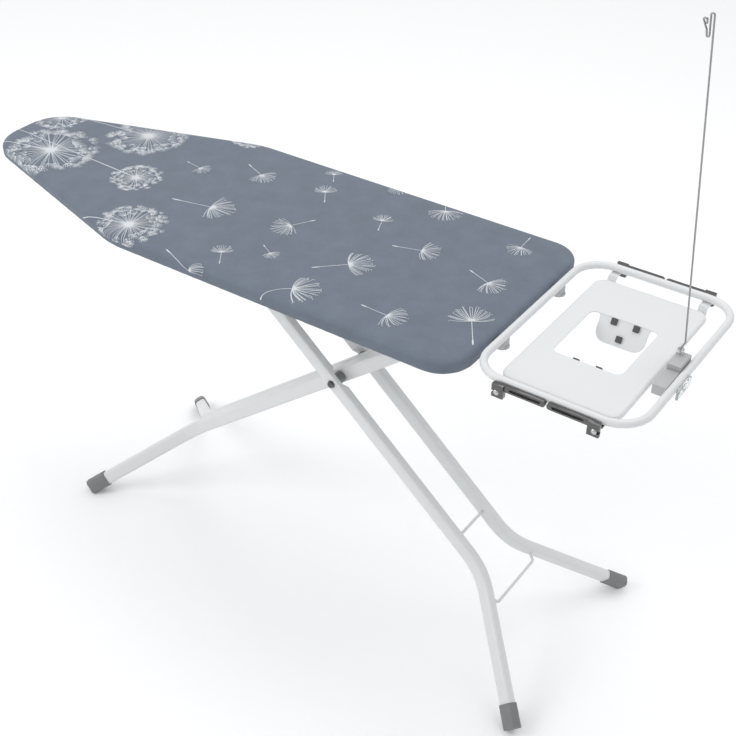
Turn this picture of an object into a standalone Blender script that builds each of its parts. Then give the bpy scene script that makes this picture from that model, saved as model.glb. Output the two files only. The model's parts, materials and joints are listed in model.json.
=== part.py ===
"""Ironing board with a scissor leg frame, an iron rest, folding hangers and a cable holder.

Frame: X runs along the board, nose towards -X and iron rest towards +X; Y across it; +Z up.
The origin is on the floor, under the middle of the whole object's box. All sizes are in metres.
"""
import math

import bmesh
import bpy
from mathutils import Matrix, Vector

# ---------------------------------------------------------------- driving dimensions
BOARD_LENGTH = 1.240          # nose tip to tail edge, over the cover
BOARD_WIDTH = 0.459           # over the cover, where the sides are parallel
BOARD_HEIGHT = 0.776          # floor to the top of the cover, at the height it stands
NOSE_TAPER = 0.481            # nose tip to the shoulder, where the sides become parallel
NOSE_END_WIDTH = 0.166        # width of the nose before its corners are rounded
NOSE_RADIUS = 0.085
SHOULDER_RADIUS = 0.200
TAIL_RADIUS = 0.062

COVER_THICKNESS = 0.0015
COVER_DEPTH = 0.0265          # top of the cover to the underside of its hem
COVER_EDGE_ROUND = 0.008
HEM_WIDTH = 0.036
PAD_THICKNESS = 0.0060
PANEL_THICKNESS = 0.0010
RIM_WIDTH = 0.0140
RIM_WALL = 0.0016

GAP = 0.0003                  # between pieces that touch
FIT = 0.0003                  # radial clearance of a shaft in its hole

RAIL_SPACING = 0.140          # between the outer faces of the two rail webs
RAIL_WALL = 0.0020
RAIL_DEPTH = 0.0450
RAIL_FLANGE = 0.0160
RAIL_END = 0.019              # rail past the slot and past the axle
STRAP_WIDTH = 0.026
STRAP_THICKNESS = 0.0025
SLOT_HEIGHT = 0.0270

AXLE_INSET = 0.0586           # tail edge to the nose leg's axle
AXLE_DROP = 0.0410            # top of the cover down to the axle
AXLE_DIAMETER = 0.010
AXLE_END = 0.006              # axle past the rail
SLEEVE_DIAMETER = 0.016
SLEEVE_END_GAP = 0.0015       # sleeve's end to the rail's web
CLIP_WASHER = 0.0022
SLIDE_ROD_DIAMETER = 0.010
ROLLER_DIAMETER = 0.0180
ROLLER_WIDTH = 0.0035

PIVOT_HEIGHT = 0.489          # floor to the bolt where the legs cross
NOSE_LEG_ANGLE = 38.3         # degrees from the floor, at this height
TAIL_LEG_ANGLE = 41.5
FOLDED_ANGLE = 2.0            # the nose leg's angle to the board when folded flat
RAISED_ANGLE = 50.0           # and at the greatest height
TUBE_HEIGHT = 0.030
TUBE_RADIUS = 0.0055
TUBE_WALL = 0.0012
NOSE_TUBE_WIDTH = 0.024
TAIL_TUBE_WIDTH = 0.020
NOSE_TUBE_SPACING = 0.038     # centre to centre
TAIL_TUBE_SPACING = 0.106
NOSE_SPLAY_START = 0.256      # along the leg, from the floor to where the tube turns out
TAIL_SPLAY_START = 0.267
SPLAY_ANGLE = 36.0
SPLAY_RADIUS = 0.130
SPINE_END = 0.020             # spine's end, back from where the nose leg's tubes turn out
TUBE_END = 0.038              # along the tube, from the floor to its cut end
CRIMP_WIDTH = 0.012           # tube width where it is pressed flat at the bolt
CRIMP_LENGTH = 0.050
CAP_LENGTH = 0.047
CAP_WALL = 0.0022
NOSE_TOE = 0.020              # from the floor back to the cap's square end, along the tube
TAIL_TOE = 0.0255
BOLT_DIAMETER = 0.008
BOLT_HEAD = 0.0165
BOLT_HEAD_HEIGHT = 0.0045
NUT_HEIGHT = 0.0036
BOLT_TIP = 0.0006             # bolt past its nut
SPACER_DIAMETER = 0.024
TUBE_PAST_ROD = 0.013         # the tail leg's tubes run this far past the slide rod
BRACE_DIAMETER = 0.006
STRAIGHT_BRACE_AT = 0.347     # along the tail leg, from the floor
BENT_BRACE_AT = 0.2005
BENT_BRACE_RISE = 0.0140
BENT_BRACE_HALF = 0.072

REST_GAP = 0.016              # tail edge to the middle of the rest's first tube
REST_DEPTH = 0.287            # between tube centres, along X
REST_WIDTH = 0.409            # between tube centres, along Y
REST_HEIGHT = 0.775           # floor to the middle of the tube
REST_RADIUS = 0.055
REST_TUBE = 0.014
REST_TUBE_WALL = 0.0012
PLATE_DROP = 0.0115           # tube centre down to the plate's top
PLATE_INSET = 0.0360          # tube centre to the plate, along X at the board side
PLATE_DEPTH = 0.210
PLATE_WIDTH = 0.356
PLATE_RADIUS = 0.020
PLATE_FLANGE = 0.0080
PLATE_WALL = 0.0015
PLATE_EDGE_ROUND = 0.0040
WINDOW_INSET = 0.0390         # plate edge to its window, at the board side
WINDOW_DEPTH = 0.125
WINDOW_WIDTH = 0.148
WINDOW_RADIUS = 0.013
TONGUE_WIDTH = 0.091
TONGUE_LENGTH = 0.046
TONGUE_LEAN = 32.0            # degrees from upright
TONGUE_RADIUS = 0.019
TONGUE_FLARE = 0.0080
SILICONE_SIZE = 0.0115
SILICONE_THICKNESS = 0.0030
SILICONE_PLACES = (           # name, side, place along X from the window's middle, way down the tongue
    ("far_board", 1, -0.018, 0.0062),
    ("far_outer", 1, 0.023, 0.0062),
    ("far_low", 1, 0.0, 0.0325),
    ("near_board", -1, -0.018, 0.0062),
    ("near_outer", -1, 0.023, 0.0062),
)
REST_STRAP_WIDTH = 0.016
REST_STRAP_THICKNESS = 0.0022
REST_STRAP_DROP = 0.0225      # tube centre down to the strap's middle, under the plate
STUD_DIAMETER = 0.008
STUD_INSET = 0.022            # plate's near or far edge to the studs it rests on
JOGGLE_OUT = 0.0095           # plate's edge out to where the strap starts to bend down
JOGGLE_IN = 0.0030            # and to where it runs level again
DRAIN_HOLE = 0.003            # in the underside of the loop

CLAMP_SPACING = 0.196         # between the two clamps that hold the rest to the board
CLAMP_WIDTH = 0.025
CLAMP_THICKNESS = 0.0030
CLAMP_TAB_DROP = 0.0175       # tube centre down to the top of the clamp's rounded tab
CLAMP_TAB_REACH = 0.0100      # tube centre out to the tab's tip
CLAMP_UNDER_BOARD = 0.045     # how far the clamp runs in under the hem
SADDLE_HALF = 0.0055          # half the width of the saddle the tube sits in

HANGER_REACH = 0.0856         # rest's middle out to a hanger's pivot, along X
HANGER_TIP_GAP = 0.0030       # between the tips of the two hangers on a side
HANGER_HEIGHT = 0.0115
HANGER_RISE = 0.00325         # tube centre up to the top of the bar
HANGER_THICKNESS = 0.0070
HANGER_SLOT_HEIGHT = 0.0050
HANGER_PIVOT_OFFSET = 0.0152  # tube centre out to the pivot
HANGER_BAR_OFFSET = 0.0030    # the bar's middle lies this much nearer the tube than its pivot
HANGER_PIN = 0.0035
LOBE_HEIGHT = 0.0245          # the hanger's pivot end, from the top of the bar down
LOBE_BACK = 0.0055            # pivot to the lobe's face towards the tube
LOBE_FRONT = 0.0045
LOBE_END = 0.0079             # pivot to the lobe's free end: it turns clear of the tube
LOBE_ROOT = 0.0125            # pivot to where the lobe runs into the bar
KNUCKLE_RADIUS = 0.0045       # rounded end of the bracket's plate, round the pin
KNUCKLE_THICKNESS = 0.0040
KNUCKLE_CLEARANCE = 0.0004    # above and below it, in the hanger's notch
BRACKET_WIDTH = 0.0120
BRACKET_INSET = 0.0145        # tube centre in to the bracket's inner end
KNUCKLE_ROOT = 0.0030         # tube centre out to where the plate narrows to its knuckle
HANGER_CROWN = 0.0025         # solid over the blind end of the pin's hole
HANGER_END_RADIUS = 0.0045
HANGER_SLOT_END = 0.0080      # bar past the slot's end, at the tip

HOLDER_LENGTH = 0.095
HOLDER_NEAR_Y = -0.0815       # the holder's end on the near side
HOLDER_DEPTH = 0.0180
HOLDER_HEIGHT = 0.0270
HOLDER_DROP = 0.0150          # tube centre down to the holder's underside
HOLDER_CHAMFER = 0.0050
JAW_LENGTH = 0.052
JAW_THICKNESS = 0.0045
JAW_RISE = 0.0030             # jaw's top over the tube's centre
JAW_PLACE = 0.030             # from the holder's near end to the middle of its jaw
SCREW_DIAMETER = 0.005
SCREW_HEAD = 0.009
BOSS_DIAMETER = 0.0130
BOSS_HEIGHT = 0.0240
BOSS_RISE = 0.0100            # top of the boss over the holder's top
BOSS_BASE = 0.0060            # height of its square base
BOSS_SHIFT = 0.0010           # holder's inner face to the middle of the boss
ROD_DIAMETER = 0.0030
ROD_HEIGHT = 0.541            # boss to the top of the rod
ROD_OFFSET = 0.0080           # how far the rod steps sideways out of the boss
ROD_STEP_LOW = 0.0030         # boss's top up to where the step starts, and ends
ROD_STEP_HIGH = 0.0075
ROD_LEAN = 4.4                # degrees towards the board
ROD_SOCKET_FLOOR = 0.0040
CLIP_DROP = 0.029             # the spring clip at the rod's top, crown to lower turn
CLIP_CROWN = 0.0026           # radii of its turns
CLIP_TURN = 0.0021
CLIP_LOOP = 0.0030

LEVER_THICKNESS = 0.0030
LEVER_CLEARANCE = 0.0015      # between the rail's web and the lever
LEVER_PIN_DIAMETER = 0.006
LEVER_PIN_AHEAD = 0.152       # from the slide rod to the lever's pin
LEVER_HANDLE = 0.067          # from the lever's pin to the middle of its grip
LEVER_BAR_DROP = 0.0046        # room for the slide rod to ride low over the lever's bar
LEVER_REACH = 0.105           # how far the grip runs out towards the near edge
LEVER_PIN_RISE = 0.006        # axle's height up to the lever's pin
GRIP_DIAMETER = 0.014
SPRING_WIRE = 0.0013
SPRING_TURNS = 4
SPRING_TAIL = 0.014

# ---------------------------------------------------------------- derived places
JAW_OUT = REST_TUBE / 2 + GAP + JAW_THICKNESS
OVERALL_LENGTH = BOARD_LENGTH + REST_GAP + REST_DEPTH + JAW_OUT
NOSE_X = -OVERALL_LENGTH / 2
TAIL_X = NOSE_X + BOARD_LENGTH
PAD_TOP = BOARD_HEIGHT - COVER_THICKNESS - GAP
PANEL_TOP = PAD_TOP - PAD_THICKNESS - GAP
PANEL_BOTTOM = PANEL_TOP - PANEL_THICKNESS
STRAP_TOP = PANEL_BOTTOM - GAP
FLANGE_TOP = STRAP_TOP - STRAP_THICKNESS - GAP
RIM_TOP = PANEL_BOTTOM - GAP
COVER_BOTTOM = BOARD_HEIGHT - COVER_DEPTH
RIM_BOTTOM = COVER_BOTTOM + COVER_THICKNESS + GAP
FRAME_INSET = COVER_THICKNESS + GAP
AXLE_X = TAIL_X - AXLE_INSET
AXLE_Z = BOARD_HEIGHT - AXLE_DROP
RAIL_OUTER = RAIL_SPACING / 2
RAIL_INNER = RAIL_OUTER - RAIL_WALL

ALPHA = math.radians(NOSE_LEG_ANGLE)
BETA = math.radians(TAIL_LEG_ANGLE)
UPPER_DROP = AXLE_Z - PIVOT_HEIGHT
PIVOT_X = AXLE_X - UPPER_DROP / math.tan(ALPHA)
SLIDE_X = PIVOT_X - UPPER_DROP / math.tan(BETA)
NOSE_UPPER = UPPER_DROP / math.sin(ALPHA)
TAIL_UPPER = UPPER_DROP / math.sin(BETA)
PIVOT = Vector((PIVOT_X, 0, PIVOT_HEIGHT))
AXLE = Vector((AXLE_X, 0, AXLE_Z))
SLIDE = Vector((SLIDE_X, 0, AXLE_Z))

LOOP_X0 = TAIL_X + REST_GAP
LOOP_X1 = LOOP_X0 + REST_DEPTH
LOOP_Y = REST_WIDTH / 2
PLATE_TOP = REST_HEIGHT - PLATE_DROP
PLATE_X0 = LOOP_X0 + PLATE_INSET
PLATE_X1 = PLATE_X0 + PLATE_DEPTH
WINDOW_X0 = PLATE_X0 + WINDOW_INSET
WINDOW_X1 = WINDOW_X0 + WINDOW_DEPTH
REST_MID_X = (LOOP_X0 + LOOP_X1) / 2
HANGER_Y = LOOP_Y + HANGER_PIVOT_OFFSET
REST_STRAP_TOP = REST_HEIGHT - REST_TUBE / 2 - GAP
REST_STRAP_BOTTOM = REST_STRAP_TOP - REST_STRAP_THICKNESS
HANGER_TOP = REST_HEIGHT + HANGER_RISE
LOBE_LOW = HANGER_TOP - LOBE_HEIGHT
KNUCKLE_TOP = REST_STRAP_BOTTOM - GAP
SIDES = (("near", -1), ("far", 1))
ENDS = (("board", -1), ("outer", 1))

# ---------------------------------------------------------------- materials
FINISHES = {
    "cover_cotton": ((0.205, 0.235, 0.275), 0.90, 0.0),
    "foam": ((0.80, 0.80, 0.76), 0.95, 0.0),
    "white_paint": ((0.86, 0.87, 0.87), 0.35, 0.0),
    "panel_paint": ((0.62, 0.64, 0.65), 0.45, 0.0),
    "steel": ((0.62, 0.62, 0.63), 0.30, 1.0),
    "dark_chrome": ((0.16, 0.16, 0.17), 0.25, 1.0),
    "grey_plastic": ((0.16, 0.17, 0.18), 0.55, 0.0),
    "light_plastic": ((0.48, 0.49, 0.49), 0.50, 0.0),
    "clear_plastic": ((0.80, 0.82, 0.83), 0.15, 0.0),
    "silicone": ((0.05, 0.05, 0.055), 0.70, 0.0),
}
MATERIALS = {}


def finish(name):
    """One material for each finish, made the first time it is asked for."""
    if name not in MATERIALS:
        colour, roughness, metallic = FINISHES[name]
        material = bpy.data.materials.new(name)
        material.use_nodes = True
        shader = material.node_tree.nodes["Principled BSDF"]
        shader.inputs["Base Color"].default_value = (*colour, 1.0)
        shader.inputs["Roughness"].default_value = roughness
        shader.inputs["Metallic"].default_value = metallic
        MATERIALS[name] = material
    return MATERIALS[name]


# ---------------------------------------------------------------- building tools
def slide_x_at(nose_angle):
    """Where the tail leg's rod stands in its slots, for an angle of the nose leg in degrees."""
    nose = math.radians(nose_angle)
    tail = math.asin(NOSE_UPPER * math.sin(nose) / TAIL_UPPER)
    return AXLE_X - NOSE_UPPER * math.cos(nose) - TAIL_UPPER * math.cos(tail)


def clear_scene():
    for item in list(bpy.data.objects):
        bpy.data.objects.remove(item, do_unlink=True)


def make_object(name, bm, material, origin=(0, 0, 0)):
    """Turns a bmesh, given in world places, into an object with its origin at a chosen point."""
    bmesh.ops.recalc_face_normals(bm, faces=bm.faces)
    bmesh.ops.translate(bm, verts=bm.verts, vec=-Vector(origin))
    mesh = bpy.data.meshes.new(name)
    bm.to_mesh(mesh)
    bm.free()
    mesh.shade_smooth()
    mesh.set_sharp_from_angle(angle=math.radians(35))
    item = bpy.data.objects.new(name, mesh)
    item.location = origin
    item.data.materials.append(finish(material))
    bpy.context.scene.collection.objects.link(item)
    return item


def cut(target, cutter_bm, operation="DIFFERENCE"):
    """Cuts a shape out of an object, or joins one to it, and keeps the result as its mesh."""
    bmesh.ops.recalc_face_normals(cutter_bm, faces=cutter_bm.faces)
    mesh = bpy.data.meshes.new("cutter")
    cutter_bm.to_mesh(mesh)
    cutter_bm.free()
    cutter = bpy.data.objects.new("cutter", mesh)
    cutter.hide_render = True
    cutter.display_type = "WIRE"
    bpy.context.scene.collection.objects.link(cutter)
    modifier = target.modifiers.new("cut", "BOOLEAN")
    modifier.operation = operation
    modifier.object = cutter
    modifier.solver = "EXACT"
    graph = bpy.context.evaluated_depsgraph_get()
    result = bpy.data.meshes.new_from_object(target.evaluated_get(graph))
    target.modifiers.clear()
    old = target.data
    target.data = result
    bpy.data.meshes.remove(old)
    bpy.data.objects.remove(cutter, do_unlink=True)
    bpy.data.meshes.remove(mesh)


def hang_on(children, name, origin):
    """Parents a moving body's pieces to an empty that sits on its joint's axis."""
    empty = bpy.data.objects.new(name, None)
    empty.location = origin
    bpy.context.scene.collection.objects.link(empty)
    for child in children:
        child.location = child.location - Vector(origin)
        child.parent = empty


def arc(centre, radius, start, end, steps):
    """Points on an arc in a plane, with angles in radians."""
    points = []
    for i in range(steps + 1):
        angle = start + (end - start) * i / steps
        points.append((centre[0] + radius * math.cos(angle), centre[1] + radius * math.sin(angle)))
    return points


def rounded_polygon(corners, radii, steps):
    """A closed outline whose corners are replaced by arcs. Corners run anticlockwise."""
    points = []
    count = len(corners)
    for i in range(count):
        corner = Vector(corners[i])
        before = (Vector(corners[i - 1]) - corner).normalized()
        after = (Vector(corners[(i + 1) % count]) - corner).normalized()
        half = before.angle(after) / 2
        centre = corner + (before + after).normalized() * radii[i] / math.sin(half)
        first = corner + before * radii[i] / math.tan(half) - centre
        last = corner + after * radii[i] / math.tan(half) - centre
        start = math.atan2(first.y, first.x)
        turn = (math.atan2(last.y, last.x) - start) % (2 * math.pi)
        points += arc(centre, radii[i], start, start + turn, steps[i])
    return points


def rounded_rectangle(width, height, radius, steps, centre=(0, 0)):
    x, y = width / 2, height / 2
    corners = [(centre[0] + a * x, centre[1] + b * y) for a, b in ((1, 1), (-1, 1), (-1, -1), (1, -1))]
    return rounded_polygon(corners, [radius] * 4, [steps] * 4)


def board_outline(inset):
    """The board's outline, moved in by an inset. Its corners' radii shrink with it."""
    half = BOARD_WIDTH / 2
    nose_half = NOSE_END_WIDTH / 2
    shoulder_x = NOSE_X + NOSE_TAPER
    slope = math.atan2(half - nose_half, NOSE_TAPER)
    side = half - inset
    shoulder = shoulder_x + inset * math.tan(slope / 2)
    tip = NOSE_X + inset
    nose_side = nose_half - inset / math.cos(slope) + inset * math.tan(slope)
    corners = [(TAIL_X - inset, side), (shoulder, side), (tip, nose_side),
               (tip, -nose_side), (shoulder, -side), (TAIL_X - inset, -side)]
    tail = max(TAIL_RADIUS - inset, 0.004)
    radii = [tail, SHOULDER_RADIUS - inset, NOSE_RADIUS - inset,
             NOSE_RADIUS - inset, SHOULDER_RADIUS - inset, tail]
    return rounded_polygon(corners, radii, [7, 3, 6, 6, 3, 7])


def half_width_at(x):
    """Half the board's width at a place along it, before its end corners are rounded."""
    along = min(max((x - NOSE_X) / NOSE_TAPER, 0.0), 1.0)
    return (NOSE_END_WIDTH + (BOARD_WIDTH - NOSE_END_WIDTH) * along) / 2


def loft(rings, closed=False):
    """Skins a row of equal rings. An open row is capped at both ends, a closed one joins up."""
    bm = bmesh.new()
    rows = [[bm.verts.new(point) for point in ring] for ring in rings]
    pairs = list(zip(rows, rows[1:]))
    if closed:
        pairs.append((rows[-1], rows[0]))
    for low, high in pairs:
        count = len(low)
        for i in range(count):
            j = (i + 1) % count
            bm.faces.new((low[i], low[j], high[j], high[i]))
    if not closed:
        bm.faces.new(rows[0])
        bm.faces.new(list(reversed(rows[-1])))
    bmesh.ops.recalc_face_normals(bm, faces=bm.faces)
    return bm


def outline_solid(profile, closed=False):
    """A solid whose wall follows the board's outline. The profile is (inset, height) pairs."""
    return loft([[(x, y, z) for x, y in board_outline(inset)] for inset, z in profile], closed)


# turns that lay a flat outline, extruded along Z, along another axis instead
LAY_ALONG = {
    "X": Matrix(((0, 0, 1, 0), (1, 0, 0, 0), (0, 1, 0, 0), (0, 0, 0, 1))),
    "Y": Matrix(((1, 0, 0, 0), (0, 0, 1, 0), (0, 1, 0, 0), (0, 0, 0, 1))),
    "Z": Matrix.Identity(4),
}


def prism(outline, low, high, axis="Z"):
    """Extrudes an outline, given as (x, y), (x, z) or (y, z), along the axis it leaves out."""
    bm = bmesh.new()
    face = bm.faces.new([bm.verts.new((a, b, low)) for a, b in outline])
    raised = bmesh.ops.extrude_face_region(bm, geom=[face])
    moved = [v for v in raised["geom"] if isinstance(v, bmesh.types.BMVert)]
    bmesh.ops.translate(bm, verts=moved, vec=(0, 0, high - low))
    bmesh.ops.transform(bm, verts=bm.verts, matrix=LAY_ALONG[axis])
    bmesh.ops.recalc_face_normals(bm, faces=bm.faces)
    return bm


def box(low, high, bevel=0.0):
    bm = bmesh.new()
    bmesh.ops.create_cube(bm, size=1.0)
    bmesh.ops.scale(bm, vec=[b - a for a, b in zip(low, high)], verts=bm.verts)
    bmesh.ops.translate(bm, vec=[(a + b) / 2 for a, b in zip(low, high)], verts=bm.verts)
    if bevel:
        bmesh.ops.bevel(bm, geom=bm.edges, offset=bevel, segments=1, affect="EDGES")
    return bm


def cylinder(start, end, radius, segments=16, end_radius=None, bevel=0.0):
    """A cylinder, or a cone, between two points."""
    start, end = Vector(start), Vector(end)
    bm = bmesh.new()
    bmesh.ops.create_cone(bm, cap_ends=True, segments=segments, radius1=radius,
                          radius2=radius if end_radius is None else end_radius,
                          depth=(end - start).length)
    if bevel:
        rim = [e for e in bm.edges if abs(e.verts[0].co.z - e.verts[1].co.z) < 1e-6]
        bmesh.ops.bevel(bm, geom=rim, offset=bevel, segments=2, affect="EDGES")
    turn = (end - start).to_track_quat("Z", "Y").to_matrix().to_4x4()
    bmesh.ops.transform(bm, verts=bm.verts, matrix=Matrix.Translation((start + end) / 2) @ turn)
    return bm


def crosswise(point, reach, radius, segments=16):
    """A cylinder along Y that runs the same way out on both sides of a point."""
    across = Vector((0, reach, 0))
    return cylinder(point - across, point + across, radius, segments)


def pipe(start, end, outer, inner, segments=16):
    """A round tube with square ends."""
    start, end = Vector(start), Vector(end)
    turn = (end - start).to_track_quat("Z", "Y")
    rings = []
    for point, radius in ((start, outer), (end, outer), (end, inner), (start, inner)):
        circle = arc((0, 0), radius, 0, 2 * math.pi, segments)[:-1]
        rings.append([point + turn @ Vector((x, y, 0)) for x, y in circle])
    return loft(rings, closed=True)


def slot_outline(x0, x1, z, height, steps):
    """A slot with round ends between two places along X, as (x, z) pairs."""
    half = height / 2
    right = arc((x1 - half, z), half, -math.pi / 2, math.pi / 2, steps)
    return right + arc((x0 + half, z), half, math.pi / 2, 3 * math.pi / 2, steps)


def rounded_path(points, radius, steps):
    """A run of straight stretches whose corners are turned with one bend radius."""
    points = [Vector(p) for p in points]
    path = [points[0]]
    for before, corner, after in zip(points, points[1:], points[2:]):
        a = (before - corner).normalized()
        b = (after - corner).normalized()
        half = a.angle(b) / 2
        reach = radius / math.tan(half)
        centre = corner + (a + b).normalized() * radius / math.sin(half)
        first = corner + a * reach - centre
        last = corner + b * reach - centre
        total = first.angle(last)
        for i in range(steps + 1):
            t = i / steps
            mixed = first * math.sin((1 - t) * total) + last * math.sin(t * total)
            path.append(centre + mixed / math.sin(total))
    path.append(points[-1])
    return path


def sweep(path, normal, section_at, closed=False):
    """Carries a section along a flat path. section_at(i) gives (across, along normal) pairs."""
    normal = Vector(normal).normalized()
    count = len(path)
    rings = []
    for i, point in enumerate(path):
        ahead = path[(i + 1) % count] if closed or i + 1 < count else None
        behind = path[i - 1] if closed or i > 0 else None
        into = (ahead - point).normalized() if ahead else (point - behind).normalized()
        out_of = (point - behind).normalized() if behind else into
        tangent = (into + out_of).normalized()
        side = tangent.cross(normal).normalized()
        stretch = 1.0 / max(abs(into.dot(tangent)), 0.5)
        rings.append([point + side * (a * stretch) + normal * b for a, b in section_at(i)])
    return loft(rings, closed)


def wire_sweep(path, radius, normal, segments=8, closed=False):
    circle = arc((0, 0), radius, 0, 2 * math.pi, segments)[:-1]
    return sweep([Vector(p) for p in path], normal, lambda i: circle, closed)


def bent_wire(name, path, diameter, resolution, origin=(0, 0, 0)):
    """A wire that follows a path in space, as a curve with a round bevel."""
    curve = bpy.data.curves.new(name, "CURVE")
    curve.dimensions = "3D"
    curve.bevel_depth = diameter / 2
    curve.bevel_resolution = resolution
    curve.use_fill_caps = True
    spline = curve.splines.new("POLY")
    spline.points.add(len(path) - 1)
    for point, place in zip(spline.points, path):
        point.co = (*(place - Vector(origin)), 1.0)
    item = bpy.data.objects.new(name, curve)
    item.location = origin
    item.data.materials.append(finish("steel"))
    bpy.context.scene.collection.objects.link(item)
    return item


# ---------------------------------------------------------------- board
def build_board():
    top, low = BOARD_HEIGHT, COVER_BOTTOM
    skin, edge = COVER_THICKNESS, COVER_EDGE_ROUND
    turn = edge * 0.3
    half_skin = skin * 0.7
    profile = [(edge, top), (turn, top - turn), (0.0, top - edge), (0.0, low + edge),
               (turn, low + turn), (edge, low), (HEM_WIDTH, low), (HEM_WIDTH, low + skin),
               (edge, low + skin), (turn + skin, low + turn + half_skin), (skin, low + edge),
               (skin, top - edge), (turn + half_skin, top - turn - skin), (edge, top - skin)]
    make_object("cotton_cover", outline_solid(profile), "cover_cotton")

    soft = edge * 0.6
    pad = [(edge + FRAME_INSET, PAD_TOP), (soft, PAD_TOP - soft * 0.45),
           (FRAME_INSET + 0.0010, PAD_TOP - PAD_THICKNESS)]
    make_object("foam_pad", outline_solid(pad), "foam")

    panel = [(FRAME_INSET, PANEL_TOP), (FRAME_INSET, PANEL_BOTTOM)]
    make_object("mesh_panel", outline_solid(panel), "panel_paint")

    # the rim is a channel, open inwards, whose lower corner follows the inside of the cover
    wall = RIM_WALL
    out, lip = FRAME_INSET, FRAME_INSET + RIM_WIDTH
    bend, bend_z = turn + skin + GAP * 2, low + turn + half_skin + GAP
    foot, side_z = edge + GAP, low + edge
    rim = [(out, RIM_TOP), (out, side_z), (bend, bend_z), (foot, RIM_BOTTOM), (lip, RIM_BOTTOM),
           (lip, RIM_BOTTOM + wall), (foot, RIM_BOTTOM + wall), (bend + wall * 0.6, bend_z + wall * 0.7),
           (out + wall, side_z), (out + wall, RIM_TOP - wall), (lip, RIM_TOP - wall), (lip, RIM_TOP)]
    make_object("edge_rim", outline_solid(rim, closed=True), "white_paint")


def lever_pin_place():
    return Vector((SLIDE_X + LEVER_PIN_AHEAD, 0, AXLE_Z + LEVER_PIN_RISE))


def build_underframe():
    """Two rails under the panel, slotted for the tail leg's rod and bored for the nose leg's axle."""
    slot_x0 = slide_x_at(FOLDED_ANGLE) - ROLLER_DIAMETER
    slot_x1 = slide_x_at(RAISED_ANGLE) + ROLLER_DIAMETER
    rail_x0 = slot_x0 - RAIL_END
    rail_x1 = AXLE_X + RAIL_END
    low = FLANGE_TOP - RAIL_DEPTH
    edge = RAIL_OUTER + RAIL_FLANGE
    for side_name, s in SIDES:
        section = [(s * RAIL_INNER, low), (s * RAIL_OUTER, low), (s * RAIL_OUTER, FLANGE_TOP - RAIL_WALL),
                   (s * edge, FLANGE_TOP - RAIL_WALL), (s * edge, FLANGE_TOP), (s * RAIL_INNER, FLANGE_TOP)]
        rail = make_object(f"rail_{side_name}", prism(section, rail_x0, rail_x1, "X"), "white_paint")
        web = Vector((0, s * RAIL_OUTER, 0))
        slot = slot_outline(slot_x0, slot_x1, AXLE_Z, SLOT_HEIGHT, 6)
        cut(rail, prism(slot, web.y - RAIL_FLANGE, web.y + RAIL_FLANGE, "Y"))
        cut(rail, crosswise(AXLE + web, RAIL_FLANGE, AXLE_DIAMETER / 2 + FIT))
        if side_name == "near":
            cut(rail, crosswise(lever_pin_place() + web, RAIL_FLANGE, LEVER_PIN_DIAMETER / 2 + FIT, 12))

    slope = (BOARD_WIDTH - NOSE_END_WIDTH) / 2 / NOSE_TAPER
    places = {"nose": rail_x0 + STRAP_WIDTH, "middle": (slot_x1 + AXLE_X) / 2, "tail": AXLE_X - STRAP_WIDTH}
    for strap_name, x in places.items():
        narrow_x = x - STRAP_WIDTH / 2
        reach = half_width_at(narrow_x) - FRAME_INSET / math.cos(math.atan(slope)) - RIM_WIDTH - GAP * 4
        bm = box((narrow_x, -reach, STRAP_TOP - STRAP_THICKNESS), (narrow_x + STRAP_WIDTH, reach, STRAP_TOP))
        make_object(f"cross_strap_{strap_name}", bm, "white_paint")

    axle = crosswise(AXLE, RAIL_OUTER + AXLE_END, AXLE_DIAMETER / 2)
    make_object("leg_axle", axle, "steel")
    for side_name, s in SIDES:
        inner = RAIL_OUTER + GAP
        bm = pipe(AXLE + Vector((0, s * inner, 0)), AXLE + Vector((0, s * (inner + CLIP_WASHER), 0)),
                  AXLE_DIAMETER * 0.85, AXLE_DIAMETER / 2 + GAP)
        make_object(f"axle_clip_{side_name}", bm, "steel")


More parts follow.
